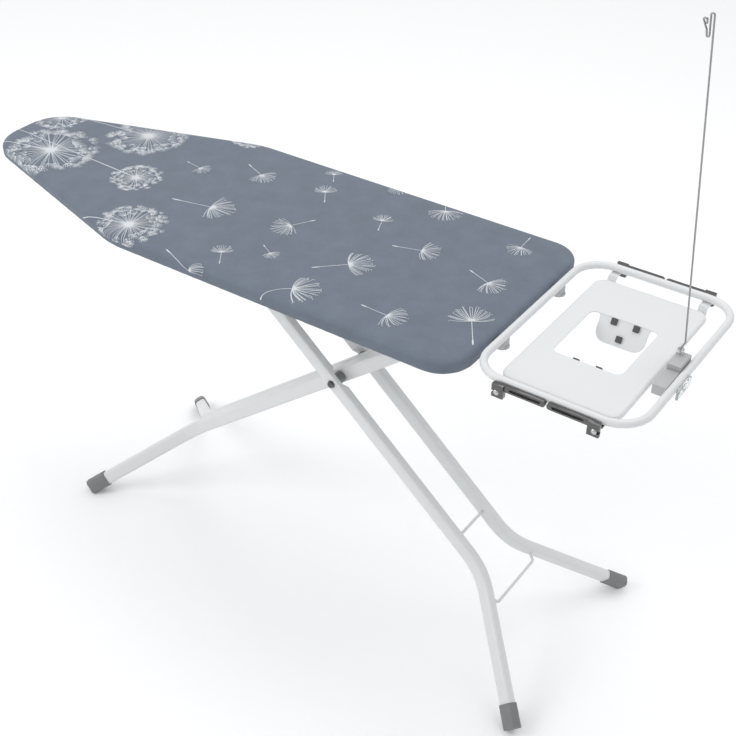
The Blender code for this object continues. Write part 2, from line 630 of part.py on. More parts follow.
def build_lever():
    """A plate lever outside the near rail, hooked behind the slide rod, with a grip to squeeze."""
    pin = lever_pin_place()
    inner_y = -RAIL_OUTER - LEVER_CLEARANCE
    outer_y = inner_y - LEVER_THICKNESS
    rod = SLIDE_ROD_DIAMETER / 2 + GAP * 2
    hook_x = SLIDE_X - rod
    bar_top = AXLE_Z - rod - LEVER_BAR_DROP
    grip_x = pin.x + LEVER_HANDLE
    outline = [(hook_x - 0.006, bar_top - 0.011), (pin.x, bar_top - 0.011),
               (grip_x + 0.008, pin.z - 0.020), (grip_x + 0.008, pin.z - 0.006),
               (pin.x + 0.014, pin.z + 0.007), (pin.x - 0.014, pin.z + 0.007),
               (pin.x - 0.018, bar_top), (hook_x, bar_top),
               (hook_x, AXLE_Z + 0.003), (hook_x - 0.006, AXLE_Z + 0.003)]
    lever = make_object("release_lever", prism(outline, outer_y, inner_y, "Y"), "steel", pin)
    bore = LEVER_PIN_DIAMETER / 2 + FIT
    cut(lever, crosswise(pin + Vector((0, outer_y, 0)), LEVER_THICKNESS * 2, bore, 12))
    start = Vector((grip_x, outer_y - GAP, pin.z - 0.013))
    grip = cylinder(start, start - Vector((0, LEVER_REACH, 0)), GRIP_DIAMETER / 2, 14, bevel=0.003)
    grip = make_object("lever_grip", grip, "grey_plastic", pin)
    hang_on([lever, grip], "lever_hinge", pin)

    spring_end = outer_y - GAP - SPRING_WIRE
    pitch = SPRING_WIRE + GAP
    pin_in = Vector((pin.x, -RAIL_INNER + 0.004, pin.z))
    pin_out = Vector((pin.x, spring_end - pitch * SPRING_TURNS - SPRING_WIRE, pin.z))
    make_object("lever_pin", cylinder(pin_in, pin_out, LEVER_PIN_DIAMETER / 2, 12), "steel")

    steps = 12
    radius = LEVER_PIN_DIAMETER / 2 + SPRING_WIRE * 1.4
    path = []
    for i in range(SPRING_TURNS * steps + 1):
        angle = 2 * math.pi * i / steps
        path.append(Vector((pin.x + radius * math.cos(angle), spring_end - pitch * i / steps,
                            pin.z + radius * math.sin(angle))))
    path.append(path[-1] + Vector((0, 0, SPRING_TAIL)))
    bent_wire("lever_spring", path, SPRING_WIRE, 1)


# ---------------------------------------------------------------- legs
def leg_frame(angle, foot_way):
    """The leg's direction down, and the normal of the plane it lies in, facing up."""
    down = Vector((foot_way * math.cos(angle), 0, -math.sin(angle)))
    normal = Vector((foot_way * math.sin(angle), 0, math.cos(angle)))
    return down, normal


def leg_tube(name, s, leg, crimped):
    """One bent leg tube, open at both ends. Gives the tube, its end and the way its foot points."""
    down, normal = leg_frame(leg["angle"], leg["foot_way"])
    side = Vector((0, s, 0))
    splay = math.radians(SPLAY_ANGLE)
    lower = down * math.cos(splay) + side * math.sin(splay)
    floor = PIVOT + down * (PIVOT_HEIGHT / math.sin(leg["angle"]))
    offset = side * leg["spacing"] / 2
    bend = floor - down * leg["splay_start"] + offset
    end = bend + lower * (leg["splay_start"] / math.cos(splay) - TUBE_END)
    path = rounded_path([PIVOT - down * leg["top"] + offset, bend, end], SPLAY_RADIUS, 6)
    widths = [leg["width"]] * len(path)
    if crimped:
        # the tube is pressed narrower round the bolt; its outer face stays straight
        reaches = (-CRIMP_LENGTH / 2, -CRIMP_LENGTH / 4, CRIMP_LENGTH / 4, CRIMP_LENGTH / 2)
        path[1:1] = [PIVOT + offset + down * reach for reach in reaches]
        widths[1:1] = [leg["width"], CRIMP_WIDTH, CRIMP_WIDTH, leg["width"]]
    outwards = side.dot(down.cross(normal))

    def section(inset):
        def at(i):
            width = widths[i] - 2 * inset
            radius = min(TUBE_RADIUS - inset, width * 0.35)
            shift = outwards * (leg["width"] - widths[i]) / 2
            return [(a + shift, b) for a, b in rounded_rectangle(width, TUBE_HEIGHT - 2 * inset, radius, 2)]
        return at

    tube = make_object(name, sweep(path, normal, section(0.0)), "white_paint", leg["origin"])
    bore = [path[0] - down * TUBE_HEIGHT] + path[1:-1] + [path[-1] + lower * TUBE_HEIGHT]
    cut(tube, sweep(bore, normal, section(TUBE_WALL)))
    cut(tube, crosswise(PIVOT + offset, TUBE_HEIGHT, BOLT_DIAMETER / 2 + FIT))
    return tube, end, lower, normal


def foot_cap(name, end, lower, normal, leg):
    """A moulded shoe over the tube's end, square across it and cut level where it meets the floor."""
    width, height = leg["width"] + 2 * CAP_WALL, TUBE_HEIGHT + 2 * CAP_WALL
    outline = rounded_rectangle(width, height, TUBE_RADIUS + CAP_WALL, 2)
    toe = end + lower * (TUBE_END - leg["toe"])
    collar = toe - lower * CAP_LENGTH
    bm = sweep([collar, toe], normal, lambda i: outline)
    cutting = bmesh.ops.bisect_plane(bm, geom=bm.verts[:] + bm.edges[:] + bm.faces[:],
                                     plane_co=(0, 0, 0), plane_no=(0, 0, -1), clear_outer=True)
    rim = [e for e in cutting["geom_cut"] if isinstance(e, bmesh.types.BMEdge)]
    bmesh.ops.contextual_create(bm, geom=rim)
    cap = make_object(name, bm, "grey_plastic", leg["origin"])
    pocket = rounded_rectangle(leg["width"] + 2 * GAP, TUBE_HEIGHT + 2 * GAP, TUBE_RADIUS, 2)
    cut(cap, sweep([collar - lower * CAP_WALL, end + lower * GAP], normal, lambda i: pocket))
    return cap


def splayed_pair(kind, leg, crimped=False):
    """The two tubes of a leg and their feet."""
    pieces = []
    for side_name, s in SIDES:
        tube, end, lower, normal = leg_tube(f"{kind}_leg_tube_{side_name}", s, leg, crimped)
        pieces += [tube, foot_cap(f"{kind}_foot_{side_name}", end, lower, normal, leg)]
    return pieces


def build_nose_leg():
    """The leg whose feet stand under the nose. Its top turns on the axle at the tail."""
    leg = {"angle": ALPHA, "foot_way": -1, "spacing": NOSE_TUBE_SPACING, "width": NOSE_TUBE_WIDTH,
           "splay_start": NOSE_SPLAY_START, "top": NOSE_UPPER - SLEEVE_DIAMETER / 2 - GAP,
           "toe": NOSE_TOE, "origin": AXLE}
    pieces = splayed_pair("nose", leg)

    # a channel that fills the space between the two tubes
    down, normal = leg_frame(ALPHA, -1)
    half = (NOSE_TUBE_SPACING - NOSE_TUBE_WIDTH) / 2 - GAP
    wall = TUBE_WALL
    high = TUBE_HEIGHT / 2 - wall
    section = [(-half, -high), (-half, high), (half, high), (half, -high), (half - wall, -high),
               (half - wall, high - wall), (-half + wall, high - wall), (-half + wall, -high)]
    ends = [PIVOT - down * leg["top"],
            PIVOT + down * (PIVOT_HEIGHT / math.sin(ALPHA) - NOSE_SPLAY_START - SPINE_END)]
    spine = make_object("nose_leg_spine", sweep(ends, normal, lambda i: section), "white_paint", AXLE)
    cut(spine, crosswise(PIVOT, TUBE_HEIGHT, BOLT_DIAMETER / 2 + FIT))

    reach = Vector((0, RAIL_INNER - SLEEVE_END_GAP, 0))
    sleeve = pipe(AXLE - reach, AXLE + reach, SLEEVE_DIAMETER / 2, AXLE_DIAMETER / 2 + FIT)
    pieces += [spine, make_object("axle_sleeve", sleeve, "white_paint", AXLE)]
    hang_on(pieces + crossing_bolt(), "nose_leg_hinge", AXLE)


def crossing_bolt():
    """The bolt through both legs, its nut, and the spacers between the legs' tubes."""
    outer = TAIL_TUBE_SPACING / 2 + TAIL_TUBE_WIDTH / 2
    head_y = outer + GAP + BOLT_HEAD_HEIGHT
    bolt = cylinder(PIVOT - Vector((0, head_y - BOLT_HEAD_HEIGHT / 2, 0)),
                    PIVOT + Vector((0, outer + NUT_HEIGHT + BOLT_TIP, 0)), BOLT_DIAMETER / 2)
    bolt = make_object("crossing_bolt", bolt, "steel", AXLE)
    head = cylinder(PIVOT - Vector((0, head_y, 0)), PIVOT - Vector((0, outer + GAP, 0)),
                    BOLT_HEAD * 0.4, 16, BOLT_HEAD / 2)
    cut(bolt, head, "UNION")
    hexagon = arc((PIVOT.x, PIVOT.z), BOLT_HEAD / 2, 0, 2 * math.pi, 6)[:-1]
    nut = prism(hexagon, outer + GAP, outer + GAP + NUT_HEIGHT, "Y")
    nut = make_object("crossing_nut", nut, "steel", AXLE)
    cut(nut, crosswise(PIVOT + Vector((0, outer, 0)), NUT_HEIGHT * 2, BOLT_DIAMETER / 2 + GAP))
    pieces = [bolt, nut]
    inner = NOSE_TUBE_SPACING / 2 + NOSE_TUBE_WIDTH / 2 + GAP
    crimped = outer - CRIMP_WIDTH - GAP
    for side_name, s in SIDES:
        bm = pipe(PIVOT + Vector((0, s * inner, 0)), PIVOT + Vector((0, s * crimped, 0)),
                  SPACER_DIAMETER / 2, BOLT_DIAMETER / 2 + FIT)
        pieces.append(make_object(f"crossing_spacer_{side_name}", bm, "grey_plastic", AXLE))
    return pieces


def build_tail_leg():
    """The leg whose feet stand under the iron rest. Its top rod runs in the rails' slots."""
    leg = {"angle": BETA, "foot_way": 1, "spacing": TAIL_TUBE_SPACING, "width": TAIL_TUBE_WIDTH,
           "splay_start": TAIL_SPLAY_START, "top": TAIL_UPPER + TUBE_PAST_ROD,
           "toe": TAIL_TOE, "origin": PIVOT}
    pieces = splayed_pair("tail", leg, crimped=True)
    for tube in pieces[::2]:
        cut(tube, crosswise(SLIDE, TAIL_TUBE_SPACING, SLIDE_ROD_DIAMETER / 2 + FIT))

    reach = RAIL_OUTER + LEVER_CLEARANCE + LEVER_THICKNESS + 0.002
    pieces.append(make_object("slide_rod", crosswise(SLIDE, reach, SLIDE_ROD_DIAMETER / 2), "steel", PIVOT))
    for side_name, s in SIDES:
        middle = SLIDE + Vector((0, s * (RAIL_OUTER - RAIL_WALL / 2), 0))
        half = Vector((0, ROLLER_WIDTH / 2, 0))
        bm = pipe(middle - half, middle + half, ROLLER_DIAMETER / 2, SLIDE_ROD_DIAMETER / 2 + FIT)
        pieces.append(make_object(f"slide_roller_{side_name}", bm, "grey_plastic", PIVOT))

    down, normal = leg_frame(BETA, 1)
    floor = PIVOT + down * (PIVOT_HEIGHT / math.sin(BETA))
    inner = TAIL_TUBE_SPACING / 2 - TAIL_TUBE_WIDTH / 2 - GAP
    brace = crosswise(floor - down * STRAIGHT_BRACE_AT, inner, BRACE_DIAMETER / 2, 10)
    pieces.append(make_object("brace_straight", brace, "white_paint", PIVOT))

    # the bent brace rises at its ends, where it is welded to the splayed stretches of the tubes
    splay = math.radians(SPLAY_ANGLE)
    low = floor - down * BENT_BRACE_AT
    high = low - down * BENT_BRACE_RISE
    run = TAIL_SPLAY_START - BENT_BRACE_AT - BENT_BRACE_RISE
    centre = TAIL_TUBE_SPACING / 2 + run * math.tan(splay)
    end = Vector((0, centre - TAIL_TUBE_WIDTH / 2 / math.cos(splay) - BRACE_DIAMETER / 2, 0))
    turn = Vector((0, min(BENT_BRACE_HALF, end.y - BRACE_DIAMETER), 0))
    path = rounded_path([high - end, low - turn, low + turn, high + end], BRACE_DIAMETER, 3)
    brace = wire_sweep(path, BRACE_DIAMETER / 2, normal, 10)
    pieces.append(make_object("brace_bent", brace, "white_paint", PIVOT))
    hang_on(pieces, "tail_leg_hinge", PIVOT)


# ---------------------------------------------------------------- iron rest
def build_rest():
    """A tube loop, with a pressed plate inside it that has a window and two bent tongues."""
    outline = rounded_rectangle(REST_DEPTH, REST_WIDTH, REST_RADIUS, 7, (REST_MID_X, 0))
    path = [Vector((x, y, REST_HEIGHT)) for x, y in outline]
    loop = make_object("rest_loop", wire_sweep(path, REST_TUBE / 2, (0, 0, 1), 12, True), "white_paint")
    cut(loop, wire_sweep(path, REST_TUBE / 2 - REST_TUBE_WALL, (0, 0, 1), 12, True))
    drain = Vector((REST_MID_X, LOOP_Y, REST_HEIGHT))
    cut(loop, cylinder(drain - Vector((0, 0, REST_TUBE)), drain, DRAIN_HOLE / 2, 8))

    plate_mid = (PLATE_X0 + PLATE_X1) / 2
    wall, edge = PLATE_WALL, PLATE_EDGE_ROUND
    turn = edge * 0.3

    def ring(inset, drop):
        points = rounded_rectangle(PLATE_DEPTH - 2 * inset, PLATE_WIDTH - 2 * inset,
                                   PLATE_RADIUS - inset, 4, (plate_mid, 0))
        return [(x, y, PLATE_TOP - drop) for x, y in points]

    rings = [ring(edge, 0.0), ring(turn, turn), ring(0.0, edge), ring(0.0, PLATE_FLANGE),
             ring(wall, PLATE_FLANGE), ring(wall, edge),
             ring(turn + wall * 0.8, turn + wall * 0.8), ring(edge, wall)]
    plate = make_object("rest_plate", loft(rings), "white_paint")
    window_mid = (WINDOW_X0 + WINDOW_X1) / 2
    window = rounded_rectangle(WINDOW_DEPTH, WINDOW_WIDTH, WINDOW_RADIUS, 4, (window_mid, 0))
    cut(plate, prism(window, PLATE_TOP - PLATE_FLANGE, PLATE_TOP + PLATE_FLANGE))
    for s in (-1, 1):
        cut(plate, tongue(window_mid, s), "UNION")

    for pad_name, s, x, along in SILICONE_PLACES:
        down, face = tongue_frame(s)
        centre = Vector((window_mid + x, s * WINDOW_WIDTH / 2, PLATE_TOP - wall / 2)) + down * along
        centre += face * (wall / 2 + GAP + SILICONE_THICKNESS / 2)
        turn_to = Matrix((Vector((1, 0, 0)), down, face)).transposed().to_4x4()
        half = Vector((SILICONE_SIZE, SILICONE_SIZE, SILICONE_THICKNESS)) / 2
        block = box(-half, half, SILICONE_THICKNESS / 4)
        bmesh.ops.transform(block, verts=block.verts, matrix=Matrix.Translation(centre) @ turn_to)
        make_object(f"rest_pad_{pad_name}", block, "silicone")


def tongue_frame(s):
    """The way down a tongue, and the way its upper face looks."""
    lean = math.radians(TONGUE_LEAN)
    down = Vector((0, -s * math.sin(lean), -math.cos(lean)))
    face = Vector((0, -s * math.cos(lean), math.sin(lean)))
    return down, face


def tongue(middle_x, s):
    """A tongue bent down from the window's edge, with rounded lower corners and a flared root."""
    down, face = tongue_frame(s)
    root = Vector((middle_x, s * (WINDOW_WIDTH / 2 + 0.0010), PLATE_TOP - PLATE_WALL / 2 - GAP))
    half, r, flare = TONGUE_WIDTH / 2, TONGUE_RADIUS, TONGUE_FLARE
    outline = [(-half - flare, 0.0), (-half - flare / 4, flare / 4), (-half, flare)]
    outline += arc((-half + r, TONGUE_LENGTH - r), r, math.pi, math.pi / 2, 4)
    outline += arc((half - r, TONGUE_LENGTH - r), r, math.pi / 2, 0, 4)
    outline += [(half, flare), (half + flare / 4, flare / 4), (half + flare, 0.0)]
    thick = PLATE_WALL / 2 - 0.00005
    return loft([[root + Vector((x, 0, 0)) + down * t + face * side for x, t in outline]
                 for side in (-thick, thick)])


def hanger_pivot_x(e):
    return REST_MID_X + e * HANGER_REACH


def build_rest_straps():
    """Two flat straps under the loop, joggled down to carry the plate on welded studs."""
    strap_z = REST_HEIGHT - REST_STRAP_DROP
    under_tube = REST_STRAP_TOP - REST_STRAP_THICKNESS / 2
    thick, wide = REST_STRAP_THICKNESS / 2, REST_STRAP_WIDTH / 2
    section = [(-thick, -wide), (thick, -wide), (thick, wide), (-thick, wide)]
    high_y, low_y = PLATE_WIDTH / 2 + JOGGLE_OUT, PLATE_WIDTH / 2 + JOGGLE_IN
    for end_name, e in ENDS:
        x = hanger_pivot_x(e)
        run = ((-LOOP_Y, under_tube), (-high_y, under_tube), (-low_y, strap_z),
               (low_y, strap_z), (high_y, under_tube), (LOOP_Y, under_tube))
        path = [Vector((x, y, z)) for y, z in run]
        strap = sweep(path, (1, 0, 0), lambda i: section)
        strap = make_object(f"rest_strap_{end_name}", strap, "white_paint")
        for y in (STUD_INSET - PLATE_WIDTH / 2, PLATE_WIDTH / 2 - STUD_INSET):
            stud = cylinder((x, y, strap_z), (x, y, PLATE_TOP - PLATE_WALL - GAP), STUD_DIAMETER / 2, 10)
            cut(strap, stud, "UNION")


def build_board_clamps():
    """Bent plates from under the board's hem to the rest's first tube, which sits in a saddle on them."""
    hem = COVER_BOTTOM - GAP
    tab_z = REST_HEIGHT - CLAMP_TAB_DROP
    tip = LOOP_X0 + CLAMP_TAB_REACH
    thick, half = CLAMP_THICKNESS, SADDLE_HALF
    seat = REST_TUBE / 2 + GAP
    lean = math.acos(half / seat)
    profile = [(TAIL_X - CLAMP_UNDER_BOARD, hem - thick), (TAIL_X + thick * 1.5, hem - thick),
               (LOOP_X0 - half, tab_z - thick), (tip, tab_z - thick), (tip, tab_z), (LOOP_X0 + half, tab_z)]
    profile += arc((LOOP_X0, REST_HEIGHT), seat, -lean, lean - math.pi, 6)
    profile += [(LOOP_X0 - half, tab_z), (TAIL_X + thick * 0.5, hem), (TAIL_X - CLAMP_UNDER_BOARD, hem)]
    for side_name, s in SIDES:
        y, radius = s * CLAMP_SPACING / 2, CLAMP_WIDTH / 2
        bm = prism(profile, y - radius, y + radius, "Y")
        clamp = make_object(f"board_clamp_{side_name}", bm, "light_plastic")
        back = TAIL_X - CLAMP_UNDER_BOARD - GAP
        plan = arc((tip - radius, y), radius, -math.pi / 2, math.pi / 2, 10)
        plan += [(back, y + radius), (back, y - radius)]
        cut(clamp, prism(plan, hem - 2 * thick, REST_HEIGHT), "INTERSECT")


def build_hangers():
    """Four slotted bars beside the rest, each turning outwards on a knuckle plate under the loop."""
    for side_name, s in SIDES:
        for end_name, e in ENDS:
            pivot = Vector((hanger_pivot_x(e), s * HANGER_Y, 0))
            hanger_bracket(f"hanger_bracket_{end_name}_{side_name}", pivot, s, e)
            hanger_arm(f"hanger_arm_{end_name}_{side_name}", pivot, s, e)


def beside(pivot, s, e, along, out):
    """A place in plan: along a hanger towards its tip, and out from the tube."""
    return (pivot.x - e * along, pivot.y + s * out)


def hanger_bracket(name, pivot, s, e):
    """A plate from the strap's end out to a round knuckle, with the hanger's upright pin."""
    inner = -HANGER_PIVOT_OFFSET - BRACKET_INSET
    root = KNUCKLE_ROOT - HANGER_PIVOT_OFFSET
    half, neck = BRACKET_WIDTH / 2, KNUCKLE_RADIUS
    plan = arc((0, 0), neck, math.pi, 0, 8)
    plan += [(neck, root + 0.002), (half, root), (half, inner),
             (-half, inner), (-half, root), (-neck, root + 0.002)]
    outline = [beside(pivot, s, e, along, out) for along, out in plan]
    bracket = make_object(name, prism(outline, KNUCKLE_TOP - KNUCKLE_THICKNESS, KNUCKLE_TOP), "dark_chrome")
    pin = cylinder((pivot.x, pivot.y, LOBE_LOW + GAP), (pivot.x, pivot.y, HANGER_TOP - HANGER_CROWN),
                   HANGER_PIN / 2, 12)
    cut(bracket, pin, "UNION")


def hanger_arm(name, pivot, s, e):
    """A slotted bar with a deeper lobe at its pivot. A notch in the lobe takes the knuckle."""
    low = HANGER_TOP - HANGER_HEIGHT
    middle = (low + HANGER_TOP) / 2
    length = HANGER_REACH - HANGER_TIP_GAP / 2
    tip = pivot.x - e * length
    bar_y = pivot.y - s * HANGER_BAR_OFFSET
    bar = rounded_rectangle(length, HANGER_HEIGHT, HANGER_END_RADIUS, 3, ((pivot.x + tip) / 2, middle))
    bar = prism(bar, bar_y - HANGER_THICKNESS / 2, bar_y + HANGER_THICKNESS / 2, "Y")
    arm = make_object(name, bar, "dark_chrome", (pivot.x, pivot.y, low))

    plan = [(LOBE_ROOT, -LOBE_BACK), (LOBE_ROOT, LOBE_FRONT), (-LOBE_END, LOBE_FRONT)]
    plan += [(-x, -y) for x, y in arc((0, 0), LOBE_END, 0, math.asin(LOBE_BACK / LOBE_END), 3)]
    lobe = [beside(pivot, s, e, along, out) for along, out in plan]
    cut(arm, prism(lobe, LOBE_LOW, HANGER_TOP - 0.0002), "UNION")

    slot_x = sorted((tip + e * HANGER_SLOT_END, pivot.x - e * (LOBE_ROOT + HANGER_SLOT_END)))
    slot = slot_outline(*slot_x, middle, HANGER_SLOT_HEIGHT, 4)
    cut(arm, prism(slot, bar_y - HANGER_THICKNESS, bar_y + HANGER_THICKNESS, "Y"))
    notch_x = sorted((pivot.x + e * (LOBE_END + 0.001), pivot.x - e * (KNUCKLE_RADIUS + 0.001)))
    cut(arm, box((notch_x[0], pivot.y - LOBE_ROOT, KNUCKLE_TOP - KNUCKLE_THICKNESS - KNUCKLE_CLEARANCE),
                 (notch_x[1], pivot.y + LOBE_ROOT, KNUCKLE_TOP + KNUCKLE_CLEARANCE)))
    hole_top = HANGER_TOP - HANGER_CROWN + GAP
    cut(arm, cylinder((pivot.x, pivot.y, LOBE_LOW - 0.001), (pivot.x, pivot.y, hole_top),
                      HANGER_PIN / 2 + FIT, 12))


# ---------------------------------------------------------------- cable holder
def build_holder():
    """A body inside the rest's last tube and a jaw outside it, drawn together by a screw under the tube."""
    near = HOLDER_NEAR_Y
    far = near + HOLDER_LENGTH
    x1 = LOOP_X1 - REST_TUBE / 2 - GAP
    x0 = x1 - HOLDER_DEPTH
    low = REST_HEIGHT - HOLDER_DROP
    high = low + HOLDER_HEIGHT
    boss_x = x0 + BOSS_SHIFT
    boss_y = far - BOSS_DIAMETER / 2 - 0.001
    boss_top = high + BOSS_RISE
    boss_low = boss_top - BOSS_HEIGHT
    chamfer = HOLDER_CHAMFER
    outline = [(x0, low), (x1, low), (x1, high - chamfer), (x1 - chamfer, high),
               (x0 + chamfer, high), (x0, high - chamfer)]
    half = BOSS_DIAMETER / 2
    body = make_object("holder_body", prism(outline, near, boss_y - half - GAP, "Y"), "light_plastic")
    shelf = box((boss_x - half, boss_y - half - 0.004, low + 0.001), (x1 - 0.001, far, boss_low - GAP))
    cut(body, shelf, "UNION")

    screw_y = near + JAW_PLACE
    screw_z = REST_HEIGHT - REST_TUBE / 2 - SCREW_DIAMETER / 2 - 4 * GAP
    start, jaw_x = x0 - GAP, LOOP_X1 + REST_TUBE / 2 + GAP
    bore = SCREW_DIAMETER / 2 + FIT
    cut(body, cylinder((x0 - 0.01, screw_y, screw_z), (x1 + 0.01, screw_y, screw_z), bore, 12))
    jaw = box((jaw_x, screw_y - JAW_LENGTH / 2, screw_z - SCREW_DIAMETER),
              (jaw_x + JAW_THICKNESS, screw_y + JAW_LENGTH / 2, REST_HEIGHT + JAW_RISE), 0.0012)
    jaw = make_object("holder_jaw", jaw, "clear_plastic")
    cut(jaw, cylinder((jaw_x - 0.01, screw_y, screw_z), (jaw_x + 0.01, screw_y, screw_z), bore, 12))
    end = jaw_x + JAW_THICKNESS - 0.0005
    shank = cylinder((start - 0.001, screw_y, screw_z), (end, screw_y, screw_z), SCREW_DIAMETER / 2, 12)
    screw = make_object("holder_screw", shank, "steel")
    head = cylinder((start - 0.003, screw_y, screw_z), (start, screw_y, screw_z), SCREW_HEAD / 2, 12)
    cut(screw, head, "UNION")

    # the boss: a square base on the body's shelf, and a socket for the rod
    boss = cylinder((boss_x, boss_y, boss_low), (boss_x, boss_y, boss_top), half, 14, half * 0.9)
    boss = make_object("holder_boss", boss, "clear_plastic")
    base_top = boss_low + BOSS_BASE
    base = box((boss_x - half, boss_y - half, boss_low), (boss_x + half, boss_y + half, base_top), 0.001)
    cut(boss, base, "UNION")
    socket = boss_low + ROD_SOCKET_FLOOR
    bore = ROD_DIAMETER / 2 + FIT
    cut(boss, cylinder((boss_x, boss_y, socket), (boss_x, boss_y, boss_top + 0.01), bore, 10))
    build_rod(Vector((boss_x, boss_y, boss_top)), socket + GAP)


def build_rod(mouth, seat_z):
    """A wire that stands in the boss, steps to the side, leans back and ends in a bent spring clip."""
    lean = math.radians(ROD_LEAN)
    up = Vector((-math.sin(lean), 0, math.cos(lean)))
    out = Vector((-math.cos(lean), 0, -math.sin(lean)))
    step = mouth + Vector((0, 0, ROD_STEP_LOW))
    foot = mouth + Vector((ROD_OFFSET / 3, ROD_OFFSET, ROD_STEP_HIGH))
    crown = foot + up * (ROD_HEIGHT - foot.z + mouth.z)
    path = rounded_path([Vector((mouth.x, mouth.y, seat_z)), step, foot, foot + up * 0.06], 0.0024, 3)[:-1]
    path += [foot + up * (ROD_HEIGHT * share) for share in (0.25, 0.5, 0.75)]

    def bend(centre, radius, start, end, steps):
        """A turn in the clip's own plane: angles run from the outward way towards up."""
        turned = arc((0, 0), radius, math.radians(start), math.radians(end), steps)
        return [centre + out * x + up * y for x, y in turned]

    top = crown + out * CLIP_CROWN - up * CLIP_CROWN
    path += bend(top, CLIP_CROWN, 180, 0, 6)
    turn = top + out * (CLIP_CROWN + CLIP_TURN) - up * CLIP_DROP
    path += bend(turn, CLIP_TURN, 180, 360, 5)
    # up again, out to the side in a narrow loop, and the end turned back down inside it
    side = turn + out * (CLIP_TURN + 2 * CLIP_LOOP) + up * (CLIP_DROP * 0.50)
    path.append(turn + out * (CLIP_TURN + CLIP_LOOP * 0.2) + up * (CLIP_DROP * 0.28))
    path += bend(side - out * CLIP_LOOP + up * (CLIP_DROP * 0.22), CLIP_LOOP, 10, 150, 5)
    path.append(side - out * (CLIP_LOOP * 1.75) + up * (CLIP_DROP * 0.05))
    bent_wire("holder_rod", path, ROD_DIAMETER, 2, mouth)


clear_scene()
build_board()
build_underframe()
build_lever()
build_nose_leg()
build_tail_leg()
build_rest()
build_rest_straps()
build_board_clamps()
build_hangers()
build_holder()
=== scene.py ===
# %% [markdown]
# # An ironing board with an iron rest
# This lesson dresses a finished metal frame. The frame arrives as one mesh per part, already in
# place. We add the camera and light, give every part its finish, and model the parts that a solid
# can't show well: the printed cotton cover, the felt under it, the expanded-metal panel and the
# small fixings.

import json
import math
import random

import bpy
import numpy as np
from mathutils import Matrix, Vector

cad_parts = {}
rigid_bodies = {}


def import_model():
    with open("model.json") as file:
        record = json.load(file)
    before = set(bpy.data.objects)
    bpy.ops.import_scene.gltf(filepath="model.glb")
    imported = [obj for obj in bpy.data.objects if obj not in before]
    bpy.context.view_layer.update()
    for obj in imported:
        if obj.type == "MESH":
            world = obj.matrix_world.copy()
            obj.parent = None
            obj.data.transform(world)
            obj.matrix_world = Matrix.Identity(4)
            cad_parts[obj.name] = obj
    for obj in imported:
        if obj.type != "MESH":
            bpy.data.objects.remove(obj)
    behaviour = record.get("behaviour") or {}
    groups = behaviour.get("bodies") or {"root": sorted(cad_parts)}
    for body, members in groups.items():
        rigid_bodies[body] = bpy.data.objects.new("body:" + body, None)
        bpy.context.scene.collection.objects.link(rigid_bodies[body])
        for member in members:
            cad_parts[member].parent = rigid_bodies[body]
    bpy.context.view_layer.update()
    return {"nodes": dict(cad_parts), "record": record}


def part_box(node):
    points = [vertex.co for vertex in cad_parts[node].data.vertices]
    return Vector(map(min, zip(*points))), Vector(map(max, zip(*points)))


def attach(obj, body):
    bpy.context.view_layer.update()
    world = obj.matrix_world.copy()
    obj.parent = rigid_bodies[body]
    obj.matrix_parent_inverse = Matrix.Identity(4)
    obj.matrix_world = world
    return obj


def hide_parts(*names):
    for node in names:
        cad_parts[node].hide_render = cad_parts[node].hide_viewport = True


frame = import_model()
nodes = frame["nodes"]

# %% [markdown]
# The camera looks down at the board from beyond its square end. A direction is easier to judge as
# two angles and a distance than as a place, so the place is worked out from them.

# %% The camera
turn, tilt, away = math.radians(35.0773), math.radians(36.1413), 2.46081
aim = Vector((0.1356, -0.0008, 0.5086))
back = Vector((math.sin(turn) * math.cos(tilt), -math.cos(turn) * math.cos(tilt), math.sin(tilt)))
right = Vector((math.cos(turn), math.sin(turn), 0))
up = back.cross(right)
place = aim + back * away
lens = bpy.data.cameras.new("camera")
lens.lens, lens.sensor_width = 61.72, 36
camera = bpy.data.objects.new("camera", lens)
camera.matrix_world = Matrix(((right.x, up.x, back.x, place.x), (right.y, up.y, back.y, place.y),
                              (right.z, up.z, back.z, place.z), (0, 0, 0, 1)))
bpy.context.scene.collection.objects.link(camera)
bpy.context.scene.camera = camera
bpy.context.scene.view_settings.view_transform = "Standard"
print("camera at", [round(v, 3) for v in place])

# %% [markdown]
# Shader maths reads best as plain sums. A Wire holds the output of one shader node, and adding or
# multiplying Wires lays the Math node that does it. A Finish holds one material: its `node` method
# makes any other node, with its settings first and its inputs after.

# %% Wires and finishes
class Wire:
    """One value on its way between shader nodes."""

    def __init__(self, finish, socket):
        self.finish, self.socket = finish, socket

    def maths(self, operation, other, turned=False):
        pair = (other, self) if turned else (self, other)
        return self.finish.node("Math", {"operation": operation}, {0: pair[0], 1: pair[1]})

    def __add__(self, other):
        return self.maths("ADD", other)

    def __sub__(self, other):
        return self.maths("SUBTRACT", other)

    def __rsub__(self, other):
        return self.maths("SUBTRACT", other, turned=True)

    def __mul__(self, other):
        return self.maths("MULTIPLY", other)

    def __pow__(self, other):
        return self.maths("POWER", other)

    __radd__, __rmul__ = __add__, __mul__


